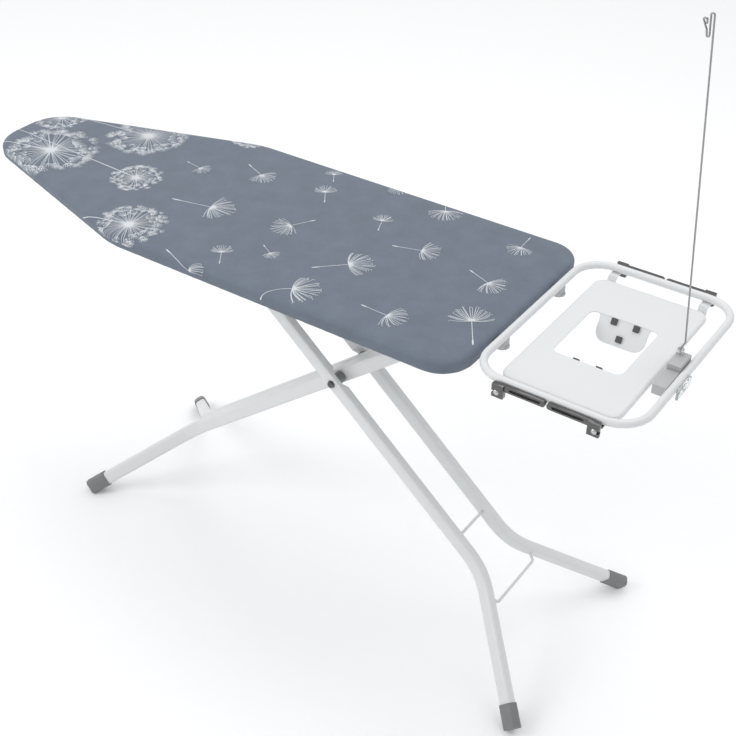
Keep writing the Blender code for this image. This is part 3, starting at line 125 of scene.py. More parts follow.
class Bench:
    """A place to lay shader nodes: a material's or the sky's."""

    def __init__(self, owner):
        owner.use_nodes = True
        self.tree = owner.node_tree

    def put(self, socket, value):
        if isinstance(value, Wire):
            self.tree.links.new(value.socket, socket)
        elif isinstance(value, tuple) and len(value) == 3 and len(socket.default_value) == 4:
            socket.default_value = (*value, 1.0)
        else:
            socket.default_value = value

    def node(self, kind, settings, values, out=0):
        made = self.tree.nodes.new("ShaderNode" + kind)
        for name, value in settings.items():
            if name == "stops":
                for stop, (position, shade) in zip(made.color_ramp.elements, value):
                    stop.position, stop.color = position, (shade, shade, shade, 1)
            else:
                setattr(made, name, value)
        for name, value in values.items():
            self.put(made.inputs[name], value)
        return Wire(self, made.outputs[out])


class Finish(Bench):
    """One material, built on a Principled shader whose fixed values are set by name."""

    def __init__(self, name, **fixed):
        self.material = bpy.data.materials.new(name)
        super().__init__(self.material)
        self.shader = self.tree.nodes["Principled BSDF"]
        self.set(**fixed)

    def place(self, stretch=(1, 1, 1)):
        spot = self.node("TexCoord", {}, {}, "Object")
        return self.node("Mapping", {}, {"Vector": spot, "Scale": stretch})

    def noise(self, size, where, detail=3.0, rough=0.5):
        """Cloudy values round 0.5, with lumps about as wide as size, in metres."""
        return self.node("TexNoise", {}, {"Vector": where, "Scale": 1 / size, "Detail": detail,
                                          "Roughness": rough})

    def steps(self, value, low, high):
        return self.node("MapRange", {"clamp": True}, {"Value": value, "From Min": low, "From Max": high})

    def blend(self, share, a, b):
        return self.node("Mix", {"data_type": "RGBA"}, {0: share, 6: a, 7: b}, 2)

    def soft_edge(self, radius):
        return self.node("Bevel", {"samples": 4}, {"Radius": radius})

    def edges(self, radius):
        """Near 1 along an outer or inner edge, 0 on a flat face."""
        flat = self.node("NewGeometry", {}, {}, "Normal")
        rounded = self.soft_edge(radius)
        same = self.node("VectorMath", {"operation": "DOT_PRODUCT"}, {0: flat, 1: rounded}, "Value")
        return self.steps(1 - same, 0.02, 0.22)

    def bumps(self, height, depth, normal=None):
        values = {"Height": height, "Distance": depth, "Strength": 1.0}
        if normal is not None:
            values["Normal"] = normal
        return self.node("Bump", {}, values)

    def set(self, **inputs):
        for socket, value in inputs.items():
            self.put(self.shader.inputs[socket.replace("_", " ")], value)
        return self.material


print("shader kit ready")

# %% [markdown]
# Powder coat is melted on, so it flows into a faint orange peel, draws thin over sharp edges and
# stays satin. Each coated part gets that peel as a bump, with a slightly warmer, glossier line
# where the coat is thin.

# %% White powder coat
def powder_coat(name, colour, thin, gloss):
    coat = Finish(name, Specular_IOR_Level=0.5)
    where = coat.place()
    peel = coat.noise(0.0011, where, 2.0)
    cloud = coat.noise(0.09, where, 4.0)
    edge = coat.edges(0.0009)
    tone = coat.blend(cloud, colour, tuple(v * 0.965 for v in colour))
    colour_out = coat.blend(edge * 0.35, tone, thin)
    return coat.set(Base_Color=colour_out, Roughness=gloss + 0.10 * cloud - 0.06 * edge,
                    Normal=coat.bumps(peel, 0.00005, coat.soft_edge(0.0007)))


white_paint = powder_coat("white_powder_coat", (0.70, 0.712, 0.72), (0.62, 0.63, 0.64), 0.30)
panel_paint = powder_coat("grey_powder_coat", (0.46, 0.48, 0.50), (0.34, 0.35, 0.36), 0.38)
print("coats:", white_paint.name, panel_paint.name)

# %% [markdown]
# Turned and plated steel shows where the tool went: fine rings or lines, broken by handling marks.
# Dark nickel is the same metal polished before plating, so its lines almost vanish.

# %% Plated metals
def plate(name, colour, gloss, lines):
    metal = Finish(name, Metallic=1.0)
    drawn = metal.noise(0.0004, metal.place((1.0, 0.06, 1.0)), 3.0)
    touch = metal.noise(0.012, metal.place(), 5.0, 0.62)
    edge = metal.edges(0.0006)
    tone = metal.blend(touch, colour, tuple(v * 0.78 for v in colour))
    # Every edge is blended towards a colour nearly twice as bright: a painted highlight along the edges.
    return metal.set(Base_Color=metal.blend(edge * 0.5, tone, tuple(min(1, v * 1.9) for v in colour)),
                     Roughness=gloss + 0.16 * metal.steps(touch, 0.42, 0.75) + lines * drawn,
                     Normal=metal.bumps(drawn, 0.00003 * (0.3 + lines), metal.soft_edge(0.0006)))


steel = plate("zinc_plate", (0.58, 0.58, 0.59), 0.24, 0.22)
dark_chrome = plate("dark_nickel", (0.145, 0.142, 0.142), 0.10, 0.04)
bright_nickel = plate("bright_nickel", (0.60, 0.60, 0.60), 0.05, 0.02)
wire_steel = plate("polished_wire", (0.36, 0.36, 0.37), 0.18, 0.08)
print("metals:", steel.name, dark_chrome.name, wire_steel.name)

# %% [markdown]
# Moulds for plastic are spark-eroded, which leaves a fine even grain. Each plastic has its edges
# painted lighter by its own share. Clear plastic keeps the mould's polish, and silicone has no gloss.

# %% Plastics and silicone
def moulded(name, colour, gloss, grain, edge_lightening):
    plastic = Finish(name)
    where = plastic.place()
    fine = plastic.noise(0.0007, where, 2.0)
    flow = plastic.noise(0.03, where, 3.0)
    edge = plastic.edges(0.0008)
    tone = plastic.blend(flow, colour, tuple(v * 0.86 for v in colour))
    # Every edge is painted lighter, by the share given for each plastic.
    lighter_edge_colour = tuple(min(1, v * 1.7 + 0.03) for v in colour)
    return plastic.set(Base_Color=plastic.blend(edge * edge_lightening, tone, lighter_edge_colour), Roughness=gloss + 0.12 * fine,
                       Normal=plastic.bumps(fine, grain, plastic.soft_edge(0.0008)))


grey_plastic = moulded("grey_grained_plastic", (0.20, 0.205, 0.21), 0.46, 0.00008, 0.5)
light_plastic = moulded("pale_satin_plastic", (0.44, 0.45, 0.455), 0.33, 0.00004, 0.4)
silicone = moulded("dark_silicone", (0.075, 0.078, 0.082), 0.62, 0.00003, 0.3)
glassy = Finish("clear_plastic", Base_Color=(0.90, 0.93, 0.94), IOR=1.49, Transmission_Weight=0.75)
haze = glassy.noise(0.004, glassy.place(), 4.0)
clear_plastic = glassy.set(Roughness=0.05 + 0.12 * haze, Normal=glassy.bumps(haze, 0.00006))
print("plastics:", grey_plastic.name, light_plastic.name, silicone.name, clear_plastic.name)

# %% [markdown]
# The cover is plain-woven cotton. Its warp and weft are two rows of rounded threads that pass over
# and under each other, so one wave is raised where the other dips. Slubs, thicker stretches of
# yarn, streak the colour along both. The pattern runs on the cloth's own map, in metres, so it
# turns over the edge with the cloth.

# %% Woven cotton
THREAD = 0.0009                      # from one thread to the next
GREY_BLUE = (0.138, 0.163, 0.203)


def cotton(name, colour, dip):
    cloth = Finish(name, Specular_IOR_Level=0.22, Sheen_Weight=0.12, Sheen_Roughness=0.5)
    flat = cloth.node("UVMap", {"uv_map": "flat"}, {})
    parts = cloth.node("SeparateXYZ", {}, {0: flat}, "X"), cloth.node("SeparateXYZ", {}, {0: flat}, "Y")
    along, across = (cloth.node("Math", {"operation": "SINE"}, {0: part * (2 * math.pi / THREAD)})
                     for part in parts)
    over = along * across
    threads = 0.5 + 0.25 * over + 0.12 * along ** 2 + 0.12 * across ** 2
    slub = cloth.noise(1.0, cloth.node("Mapping", {}, {"Vector": flat, "Scale": (90, 900, 1)}), 3.0)
    slub_across = cloth.noise(1.0, cloth.node("Mapping", {}, {"Vector": flat, "Scale": (900, 90, 1)}), 3.0)
    wash = cloth.noise(0.055, flat, 5.0, 0.6)
    fibre = cloth.noise(0.0013, flat, 2.0)
    streak = (slub + slub_across) * 0.5
    light, deep = tuple(v * 1.12 for v in colour), tuple(v * dip for v in colour)
    tone = cloth.blend(cloth.steps(0.55 * wash + 0.45 * streak, 0.36, 0.64), deep, light)
    # Raised threads are painted up to a quarter lighter: painted highlight on the crowns of the weave,
    # painted shade in its dips.
    return cloth.set(Base_Color=cloth.blend(threads * 0.22, tone, tuple(v * 1.25 for v in colour)),
                     Roughness=0.78 + 0.14 * fibre, Normal=cloth.bumps(threads + 0.5 * fibre, 0.00011))


cover_cotton = cotton("grey_blue_cotton", GREY_BLUE, 0.88)
white_ink = cotton("white_print", (0.62, 0.645, 0.675), 0.92)
print("cloths:", cover_cotton.name, white_ink.name)

# %% [markdown]
# Needled felt has no threads. Its short fibres lie every way, so it is cloudy at two sizes.

# %% Felt
felt_work = Finish("needled_felt", Specular_IOR_Level=0.15)
fibres = felt_work.noise(0.0016, felt_work.place(), 5.0, 0.7)
tufts = felt_work.noise(0.011, felt_work.place(), 4.0)
felt = felt_work.set(Base_Color=felt_work.blend(fibres, (0.52, 0.52, 0.50), (0.80, 0.80, 0.77)),
                     Roughness=0.86 + 0.1 * tufts, Normal=felt_work.bumps(fibres + tufts, 0.0004))
print("felt ready")

# %% [markdown]
# Every part of the frame now takes its finish. The record says which finish a part has, and one
# table turns that into the material made here. The cable rod is drawn wire, and the bolt where the
# legs cross is blackened, so these two get their own.

# %% Dressing the frame
DRESS = {"white_paint": white_paint, "panel_paint": panel_paint, "steel": steel, "dark_chrome": dark_chrome,
         "grey_plastic": grey_plastic, "light_plastic": light_plastic, "silicone": silicone,
         "clear_plastic": clear_plastic, "cover_cotton": cover_cotton, "foam": felt}
for name, part in nodes.items():
    for hole in part.material_slots:
        hole.material = DRESS[hole.material.name.split(".")[0]]
nodes["holder_rod"].material_slots[0].material = wire_steel
nodes["crossing_bolt"].material_slots[0].material = dark_chrome
print("dressed", len(nodes), "parts")

# %% [markdown]
# The cover is cut flat and pulled over the board's edge, so it is described flat too: every point
# of the cloth has a distance inside the board's outline. Near the edge that distance is walked
# along a curve instead, over the rounded edge, down the side, and under as the hem. The same walk
# later carries the print.

# %% The board's outline
cover_low, cover_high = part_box("cotton_cover")
NOSE, TAIL, HALF, TOP, LOW = cover_low.x, cover_high.x, cover_high.y, cover_high.z, cover_low.z
NOSE_TAPER, NOSE_HALF = 0.481, 0.083
CORNERS = [(TAIL, HALF, 0.062), (NOSE + NOSE_TAPER, HALF, 0.200), (NOSE, NOSE_HALF, 0.085),
           (NOSE, -NOSE_HALF, 0.085), (NOSE + NOSE_TAPER, -HALF, 0.200), (TAIL, -HALF, 0.062)]


def outline(step):
    """Points about a step apart round the board, with the direction that faces out at each."""
    spots, facing = [], []
    count = len(CORNERS)
    for i in range(count):
        x, y, radius = CORNERS[i]
        corner = np.array((x, y))
        before = np.array(CORNERS[i - 1][:2]) - corner
        after = np.array(CORNERS[(i + 1) % count][:2]) - corner
        before, after = before / np.linalg.norm(before), after / np.linalg.norm(after)
        half_angle = math.acos(float(before @ after)) / 2
        middle = (before + after) / np.linalg.norm(before + after)
        centre = corner + middle * radius / math.sin(half_angle)
        reach = radius / math.tan(half_angle)
        start, end = corner + before * reach, corner + after * reach
        a0 = math.atan2(*(start - centre)[::-1])
        sweep = (math.atan2(*(end - centre)[::-1]) - a0 + math.pi) % (2 * math.pi) - math.pi
        pieces = max(4, round(abs(sweep) * radius / step))
        for k in range(pieces + 1):
            angle = a0 + sweep * k / pieces
            facing.append((math.cos(angle), math.sin(angle)))
            spots.append(centre + radius * np.array(facing[-1]))
        x2, y2, radius2 = CORNERS[(i + 1) % count]
        far = np.array((x2, y2))
        after2 = np.array(CORNERS[(i + 2) % count][:2]) - far
        after2 = after2 / np.linalg.norm(after2)
        next_start = far - after * radius2 / math.tan(math.acos(float(-after @ after2)) / 2)
        gap = np.linalg.norm(next_start - end)
        for k in range(1, max(1, round(gap / step))):
            spots.append(end + (next_start - end) * k / round(gap / step))
            facing.append(facing[-1])
    return np.array(spots), np.array(facing)


edge_spots, edge_facing = outline(0.004)
edge_run = np.concatenate([[0], np.cumsum(np.linalg.norm(np.diff(edge_spots, axis=0), axis=1))])
print("outline", len(edge_spots), "points,", round(edge_run[-1], 3), "m round")

# %% [markdown]
# The walk over the edge is a row of (distance inside the outline, height) pairs. The cloth is held
# by a drawn hem, so its side has shallow puckers that grow towards the hem and die out on top.
# Sums of sine waves with unrelated lengths look uneven and come out the same every time.

# %% The walk over the edge
SOFT = 0.060                        # where the flat top begins
SIDE_TOP, ROUND_IN = TOP - 0.0098, 0.0150


def edge_walk():
    walk = [(SOFT, TOP), (0.045, TOP), (0.034, TOP - 0.00005), (0.026, TOP - 0.0002), (0.020, TOP - 0.0005)]
    for k in range(0, 11):
        angle = math.radians(90 - 9 * k)
        walk.append((ROUND_IN * (1 - math.cos(angle)),
                     SIDE_TOP + (TOP - 0.0008 - SIDE_TOP) * math.sin(angle)))
    for k in range(1, 6):
        walk.append((0.0, SIDE_TOP + (LOW + 0.006 - SIDE_TOP) * k / 5))
    for k in range(1, 7):
        angle = math.radians(15 * k)
        walk.append((0.006 * (1 - math.cos(angle)), LOW + 0.006 * (1 - math.sin(angle))))
    walk += [(0.012, LOW), (0.018, LOW), (0.024, LOW), (0.030, LOW), (0.036, LOW)]
    return np.array(walk)


walk = edge_walk()
walked = np.concatenate([[0], np.cumsum(np.linalg.norm(np.diff(walk, axis=0), axis=1))])


def pucker(run, far):
    """How far the cloth is pulled in, at a place round the outline and a distance along the walk."""
    wave = (np.sin(run * 2 * math.pi / 0.037) + 0.8 * np.sin(run * 2 * math.pi / 0.0233 + 1.3)
            + 0.6 * np.sin(run * 2 * math.pi / 0.071 + 0.4)) / 2.4
    grow = np.clip((far - 0.052) / 0.030, 0, 1)
    return grow * grow * (3 - 2 * grow) * (0.00022 + 0.00028 * wave)


def nearest(flat):
    """For points of the flat cloth: the nearest point of the outline, and how far inside it they are."""
    near = np.concatenate([((flat[k:k + 2000, None, :] - edge_spots[None]) ** 2).sum(2).argmin(1)
                           for k in range(0, len(flat), 2000)])
    return near, -((flat - edge_spots[near]) * edge_facing[near]).sum(1)


def on_cloth(flat, lift):
    """Takes points of the flat cloth to their place on the board, each lifted off it by its own amount."""
    near, inside = nearest(flat)
    face, far = edge_facing[near], np.clip(SOFT - inside, 0, walked[-1])
    depth, height = np.interp(far, walked, walk[:, 0]), np.interp(far, walked, walk[:, 1])
    ahead = np.clip(far + 0.0005, 0, walked[-1])
    slope = np.column_stack([np.interp(ahead, walked, walk[:, 0]) - depth,
                             np.interp(ahead, walked, walk[:, 1]) - height])
    slope /= np.maximum(np.linalg.norm(slope, axis=1), 1e-9)[:, None]
    drawn_in = depth + pucker(edge_run[near], far) + lift * slope[:, 1]
    bent_down = np.column_stack([flat + face * (inside - drawn_in)[:, None], height - lift * slope[:, 0]])
    level = np.column_stack([flat, TOP + lift])
    return np.where((far > 0)[:, None], bent_down, level)


print("edge walk", len(walk), "rows,", round(float(walked[-1]) * 1000, 1), "mm of cloth")

# %% [markdown]
# A mesh made from numbers needs the same last steps every time: an object, a finish, smooth
# shading, and the part of the frame that it moves with.

# %% Making a piece
def lay_down(name, points, faces, finish, body, angle=35):
    mesh = bpy.data.meshes.new(name)
    mesh.from_pydata([tuple(map(float, p)) for p in points], [], [tuple(map(int, f)) for f in faces])
    mesh.update()
    piece = bpy.data.objects.new(name, mesh)
    bpy.context.scene.collection.objects.link(piece)
    return settle(piece, finish, body, angle)


def settle(piece, finish, body, angle=35):
    """Ends a piece: finish, smooth shading and body."""
    piece.data.materials.clear()
    piece.data.materials.append(finish)
    alone(piece)
    bpy.ops.object.shade_smooth_by_angle(angle=math.radians(angle))
    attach(piece, body)
    return piece


def alone(piece=None):
    if bpy.context.object and bpy.context.object.mode != "OBJECT":
        bpy.ops.object.mode_set(mode="OBJECT")
    bpy.ops.object.select_all(action="DESELECT")
    if piece:
        piece.select_set(True)
        bpy.context.view_layer.objects.active = piece


def choose(piece, test):
    """Goes into edit mode with only the faces that pass the test selected."""
    alone(piece)
    bpy.ops.object.mode_set(mode="EDIT")
    bpy.ops.mesh.select_mode(type="FACE")
    bpy.ops.mesh.select_all(action="DESELECT")
    bpy.ops.object.mode_set(mode="OBJECT")
    for face in piece.data.polygons:
        face.select = test(face)
    bpy.ops.object.mode_set(mode="EDIT")


def face_out(piece):
    """Turns all faces of a piece the same way, outwards."""
    alone(piece)
    bpy.ops.object.mode_set(mode="EDIT")
    bpy.ops.mesh.select_all(action="SELECT")
    bpy.ops.mesh.normals_make_consistent(inside=False)
    bpy.ops.object.mode_set(mode="OBJECT")


def flat_map(piece, flat):
    layer = piece.data.uv_layers.new(name="flat")
    corner = np.array([loop.vertex_index for loop in piece.data.loops])
    layer.data.foreach_set("uv", np.asarray(flat, np.float32)[corner].ravel())


print("helpers ready")

# %% [markdown]
# The cotton cover itself: one ring of cloth for each row of the walk, and the flat top inside the
# first ring. It is thin, so Solidify gives it its thickness inwards.

# %% The cotton cover
ring = len(edge_spots)
flat_rings = [edge_spots - edge_facing * (SOFT - far) for far in walked]
cover_flat = np.concatenate(flat_rings)
depths = [walk[k, 0] + pucker(edge_run, far) for k, far in enumerate(walked)]
cover_rings = [np.column_stack([edge_spots - edge_facing * depth[:, None], np.full(ring, height)])
               for depth, height in zip(depths, walk[:, 1])]
cover_points = np.concatenate(cover_rings)
cover_faces = [(k * ring + i, (k + 1) * ring + i,
                (k + 1) * ring + (i + 1) % ring, k * ring + (i + 1) % ring)
               for k in range(len(walk) - 1) for i in range(ring)]
cover_faces.append(list(range(ring)))
cover = lay_down("cover", cover_points, cover_faces, cover_cotton, "board", 60)
flat_map(cover, cover_flat)
face_out(cover)
up_side = sum(p.area * p.normal.z for p in cover.data.polygons if p.center.z > TOP - 0.001)
if up_side < 0:
    cover.data.flip_normals()
thick = cover.modifiers.new("cloth", "SOLIDIFY")
thick.thickness, thick.offset = 0.0007, -1
bpy.ops.object.modifier_apply(modifier=thick.name)
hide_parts("cotton_cover")

# %% [markdown]
# The felt is a pad with rounded edges that fills the space between the panel and the cover. Its
# sides come in a little, because the cover's pull squeezes them.

# %% The felt pad
panel_low, panel_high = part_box("mesh_panel")
FELT_LOW = panel_high.z + 0.0003
FELT_TOP = TOP - 0.0011
felt_rows = [(0.030, FELT_LOW), (0.0042, FELT_LOW), (0.0036, FELT_LOW + 0.0007), (0.0044, FELT_LOW + 0.0022),
             (0.0075, FELT_LOW + 0.0040), (0.0115, FELT_TOP - 0.0014), (0.016, FELT_TOP - 0.0007),
             (0.022, FELT_TOP - 0.0002), (0.030, FELT_TOP)]
felt_points = np.concatenate([np.column_stack([edge_spots - edge_facing * depth, np.full(ring, height)])
                              for depth, height in felt_rows])
felt_faces = [(k * ring + i, k * ring + (i + 1) % ring, (k + 1) * ring + (i + 1) % ring, (k + 1) * ring + i)
              for k in range(len(felt_rows) - 1) for i in range(ring)]
felt_faces += [list(range(ring))[::-1], [(len(felt_rows) - 1) * ring + i for i in range(ring)]]
pad = lay_down("felt_pad", felt_points, felt_faces, felt, "board", 40)
face_out(pad)
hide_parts("foam_pad")
print("felt pad", len(pad.data.polygons), "faces, top at", round(FELT_TOP, 4))

# %% [markdown]
# Expanded metal is sheet that has been slit and pulled open, which leaves a net of diamonds whose
# strands lie a little turned. One crossing of four strands is modelled and then repeated in rows
# and columns. What falls outside the board is cut away, and a flat border takes the cut ends.

# %% The expanded-metal panel
LONG_WAY, SHORT_WAY, STRAND = 0.024, 0.011, 0.0021
CUT_BACK = 0.004                     # how far inside the outline the net ends
BORDER_OUT, BORDER_IN = 0.0019, 0.0120
sheet_mid = (panel_low.z + panel_high.z) / 2
alone()
lean = math.atan2(SHORT_WAY, LONG_WAY)
arms = []
for side_x, side_y in ((1, 1), (1, -1), (-1, 1), (-1, -1)):
    bpy.ops.mesh.primitive_cube_add(size=1, location=(side_x * LONG_WAY / 4, side_y * SHORT_WAY / 4, 0),
                                    rotation=(math.radians(9 * side_x * side_y), 0, side_x * side_y * lean),
                                    scale=(math.hypot(LONG_WAY, SHORT_WAY) / 2, STRAND, 0.0006))
    arms.append(bpy.context.object)
for arm in arms:
    arm.select_set(True)
bpy.ops.object.join()
net = bpy.context.object
net.name = "expanded_panel"
bpy.ops.object.transform_apply(location=True, rotation=True, scale=True)
columns, rows = int((TAIL - NOSE) / LONG_WAY) + 1, int(2 * HALF / SHORT_WAY) + 1
for way, count, pitch in ((0, columns, LONG_WAY), (1, rows, SHORT_WAY)):
    again = net.modifiers.new("again", "ARRAY")
    again.use_relative_offset, again.use_constant_offset = False, True
    again.constant_offset_displace = [pitch * (way == k) for k in range(3)]
    again.count = count
    bpy.ops.object.modifier_apply(modifier=again.name)
net.data.transform(Matrix.Translation((NOSE + CUT_BACK, -(rows - 1) * SHORT_WAY / 2, sheet_mid)))
corners = np.array([v.co[:2] for v in net.data.vertices])
outside = nearest(corners)[1] < CUT_BACK
alone(net)
bpy.ops.object.mode_set(mode="EDIT")
bpy.ops.mesh.select_mode(type="VERT")
bpy.ops.mesh.select_all(action="DESELECT")
bpy.ops.object.mode_set(mode="OBJECT")
net.data.vertices.foreach_set("select", outside)
bpy.ops.object.mode_set(mode="EDIT")
bpy.ops.mesh.select_linked()
bpy.ops.mesh.delete(type="VERT")
bpy.ops.object.mode_set(mode="OBJECT")
settle(net, panel_paint, "board")
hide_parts("mesh_panel")
border_rows = [(BORDER_OUT, panel_high.z), (BORDER_OUT, panel_low.z),
               (BORDER_IN, panel_low.z), (BORDER_IN, panel_high.z)]
border_points = np.concatenate([np.column_stack([edge_spots - edge_facing * depth, np.full(ring, level)])
                                for depth, level in border_rows])
border_faces = [(k * ring + i, (k + 1) % 4 * ring + i,
                 (k + 1) % 4 * ring + (i + 1) % ring, k * ring + (i + 1) % ring)
                for k in range(4) for i in range(ring)]
border = lay_down("panel_border", border_points, border_faces, panel_paint, "board")
face_out(border)
print("panel", columns, "by", rows, "crossings,", len(net.data.polygons), "faces")

# %% [markdown]
# Cast and moulded parts never have knife edges, and it is the rounded edge that catches the light.
# The frame's parts are hidden and left as they are. The frame's parts can't be changed, so a copy is
# made of each small hard part, its loose triangles are merged and flattened into clean faces, and
# Bevel rounds every edge.

# %% Rounded castings and mouldings
def round_over(node, width, finish, angle=38):
    made = bpy.data.objects.new("round_" + node, nodes[node].data.copy())
    bpy.context.scene.collection.objects.link(made)
    alone(made)
    bpy.ops.object.mode_set(mode="EDIT")
    bpy.ops.mesh.select_mode(type="VERT")
    bpy.ops.mesh.select_all(action="SELECT")
    bpy.ops.mesh.remove_doubles(threshold=0.00001)
    bpy.ops.mesh.dissolve_limited(angle_limit=math.radians(1.5))
    bpy.ops.mesh.customdata_custom_splitnormals_clear()
    bpy.ops.object.mode_set(mode="OBJECT")
    rounding = made.modifiers.new("rounding", "BEVEL")
    rounding.width, rounding.segments, rounding.angle_limit = width, 3, math.radians(angle)
    rounding.limit_method, rounding.use_clamp_overlap, rounding.harden_normals = "ANGLE", True, False
    bpy.ops.object.modifier_apply(modifier=rounding.name)
    body = next(name for name, members in frame["record"]["behaviour"]["bodies"].items() if node in members)
    settle(made, finish, body, 50)
    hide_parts(node)
    return made


castings = [round_over(f"hanger_{part}_{end}_{side}", 0.0011, dark_chrome)
            for part in ("arm", "bracket") for end in ("board", "outer") for side in ("near", "far")]
caps = [round_over(f"{leg}_foot_{side}", 0.0012, grey_plastic)
        for leg in ("nose", "tail") for side in ("near", "far")]
clamps = [round_over(f"board_clamp_{side}", 0.0006, light_plastic)
          for side in ("near", "far")]
round_over("holder_jaw", 0.0008, clear_plastic)
pads = [round_over(f"rest_pad_{place}", 0.0008, silicone)
        for place in ("near_board", "near_outer", "far_board", "far_outer", "far_low")]
print("rounded", len(castings) + len(caps) + len(clamps) + len(pads) + 1, "parts")

# %% [markdown]
# The cable holder's clamp is moulded in two steps: a low block that takes the clamp screw, and a
# higher one that carries the rod's socket. A narrow slot between them lets the clamp flex. Each
# block is a box with rounded edges whose inner face is set in, which keeps the walls even.

# %% The holder's clamp
def moulded_block(low, high, rounding, sunk):
    alone()
    middle = [(a + b) / 2 for a, b in zip(low, high)]
    bpy.ops.mesh.primitive_cube_add(size=1, location=middle, scale=[b - a for a, b in zip(low, high)])
    block = bpy.context.object
    bpy.ops.object.transform_apply(location=True, rotation=True, scale=True)
    choose(block, lambda face: face.normal.x < -0.9)
    bpy.ops.mesh.inset(thickness=0.0030, depth=0)
    bpy.ops.mesh.extrude_region_move(TRANSFORM_OT_translate={"value": (sunk, 0, 0)})
    face_out(block)
    edge = block.modifiers.new("edge", "BEVEL")
    edge.width, edge.segments = rounding, 3
    bpy.ops.object.modifier_apply(modifier=edge.name)
    return block


holder_low, holder_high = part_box("holder_body")
STEP_Y, HALF_SLOT = holder_low.y + 0.051, 0.0012
LOW_BLOCK_TOP, HIGH_BLOCK_FOOT = 0.7785, 0.7640
WEB_FOOT, WEB_TOP, WEB_HALF = 0.7650, 0.7770, 0.003
low_block = moulded_block((holder_low.x, holder_low.y, holder_low.z),
                          (holder_high.x, STEP_Y - HALF_SLOT, LOW_BLOCK_TOP), 0.0012, 0.0006)
high_block = moulded_block((holder_low.x, STEP_Y + HALF_SLOT, HIGH_BLOCK_FOOT),
                           (holder_high.x, holder_high.y, holder_high.z), 0.0012, 0.0006)
web = moulded_block((holder_low.x + 0.006, STEP_Y - WEB_HALF, WEB_FOOT),
                    (holder_high.x - 0.001, STEP_Y + WEB_HALF, WEB_TOP), 0.0004, 0.0004)
blocks = [low_block, high_block, web]
alone(blocks[0])
for block in blocks:
    block.data.materials.clear()
    block.select_set(True)
bpy.ops.object.join()
clamp_body = bpy.context.object
clamp_body.name = "holder_clamp"
settle(clamp_body, light_plastic, "board", 40)
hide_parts("holder_body")
print("holder clamp", len(clamp_body.data.polygons), "faces")

# %% [markdown]
# A domed rivet head is a ball cut in half and pressed flat, on a thin collar. Small heads hold the
# plate and the hanger bars, and one larger head is the holder's clamp screw.

# %% Rivets and screws
def dome_head(name, spot, facing, radius, rise, finish, body):
    """A domed head on its collar, at a spot on a face, looking the way the face does."""
    alone()
    bpy.ops.mesh.primitive_uv_sphere_add(segments=28, ring_count=14, radius=radius)
    head = bpy.context.object
    head.name = name
    bpy.ops.object.mode_set(mode="EDIT")
    bpy.ops.mesh.select_all(action="SELECT")
    bpy.ops.mesh.bisect(plane_co=(0, 0, radius * 0.35), plane_no=(0, 0, 1), clear_inner=True, use_fill=True)
    choose(head, lambda face: face.normal.z < -0.9)
    bpy.ops.mesh.extrude_region_move(TRANSFORM_OT_translate={"value": (0, 0, -radius * 0.10)})
    bpy.ops.transform.resize(value=(1.18, 1.18, 1))
    bpy.ops.mesh.extrude_region_move(TRANSFORM_OT_translate={"value": (0, 0, -radius * 0.18)})
    face_out(head)
    low, high = min(v.co.z for v in head.data.vertices), max(v.co.z for v in head.data.vertices)
    turn = Vector(facing).to_track_quat("Z", "Y").to_matrix().to_4x4()
    squat = Matrix.Diagonal((1, 1, rise / (high - low), 1))
    head.data.transform(Matrix.Translation(spot) @ turn @ squat @ Matrix.Translation((0, 0, -low)))
    return settle(head, finish, body, 40)


PIN_IN, PROUD = 0.0085, 0.0001       # a hanger's pin from its bar's end, and a head from its face
HANGER_PIN_Z, SCREW_Z, SCREW_Y = 0.7630, 0.7680, -0.0400
PLATE_RIVETS = {"board": 0.5365, "outer": 0.7077}
arm_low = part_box("hanger_arm_board_near")[0]
outer_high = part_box("hanger_arm_outer_near")[1]
for end, pin_x in (("board", arm_low.x + PIN_IN), ("outer", outer_high.x - PIN_IN)):
    for side, way in (("near", -1), ("far", 1)):
        spot = Vector((pin_x, way * (-arm_low.y + PROUD), HANGER_PIN_Z))
        dome_head(f"rivet_{end}_{side}", spot, (0, way, 0), 0.0045, 0.0024, bright_nickel,
                  f"hanger_{end}_{side}")
plate_low, plate_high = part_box("rest_plate")
for end, x in PLATE_RIVETS.items():
    dome_head(f"plate_rivet_{end}", Vector((x, plate_low.y - PROUD, plate_high.z - 0.0040)), (0, -1, 0),
              0.0017, 0.0010, dark_chrome, "board")
dome_head("clamp_screw_head", Vector((holder_low.x + 0.0004, SCREW_Y, SCREW_Z)), (-1, 0, 0), 0.0042, 0.0022,
          steel, "board")
print("rivets: 4 on the hangers, 2 on the plate, 1 on the holder")

# %% [markdown]
# The print is thistledown: seeds that drift from clocks at the nose. Every hair is a thin ribbon
# of ink, 0.16 to 0.4 mm proud of the cloth: each has one of sixty heights, so two that cross
# seldom share a plane. A seed has a stem with a grain at its end and a fan of bent hairs. Ribbons
# are laid on the flat cloth and then carried over the edge with it.

# %% Inked ribbons
INK_LOW, INK_STEP, INK_LAYERS = 0.00016, 0.000004, 60
PRINT_EDGE = 0.045                   # how far inside the hem's end the print stops
ink_faces, ink_flat, ink_layer = [], [], []


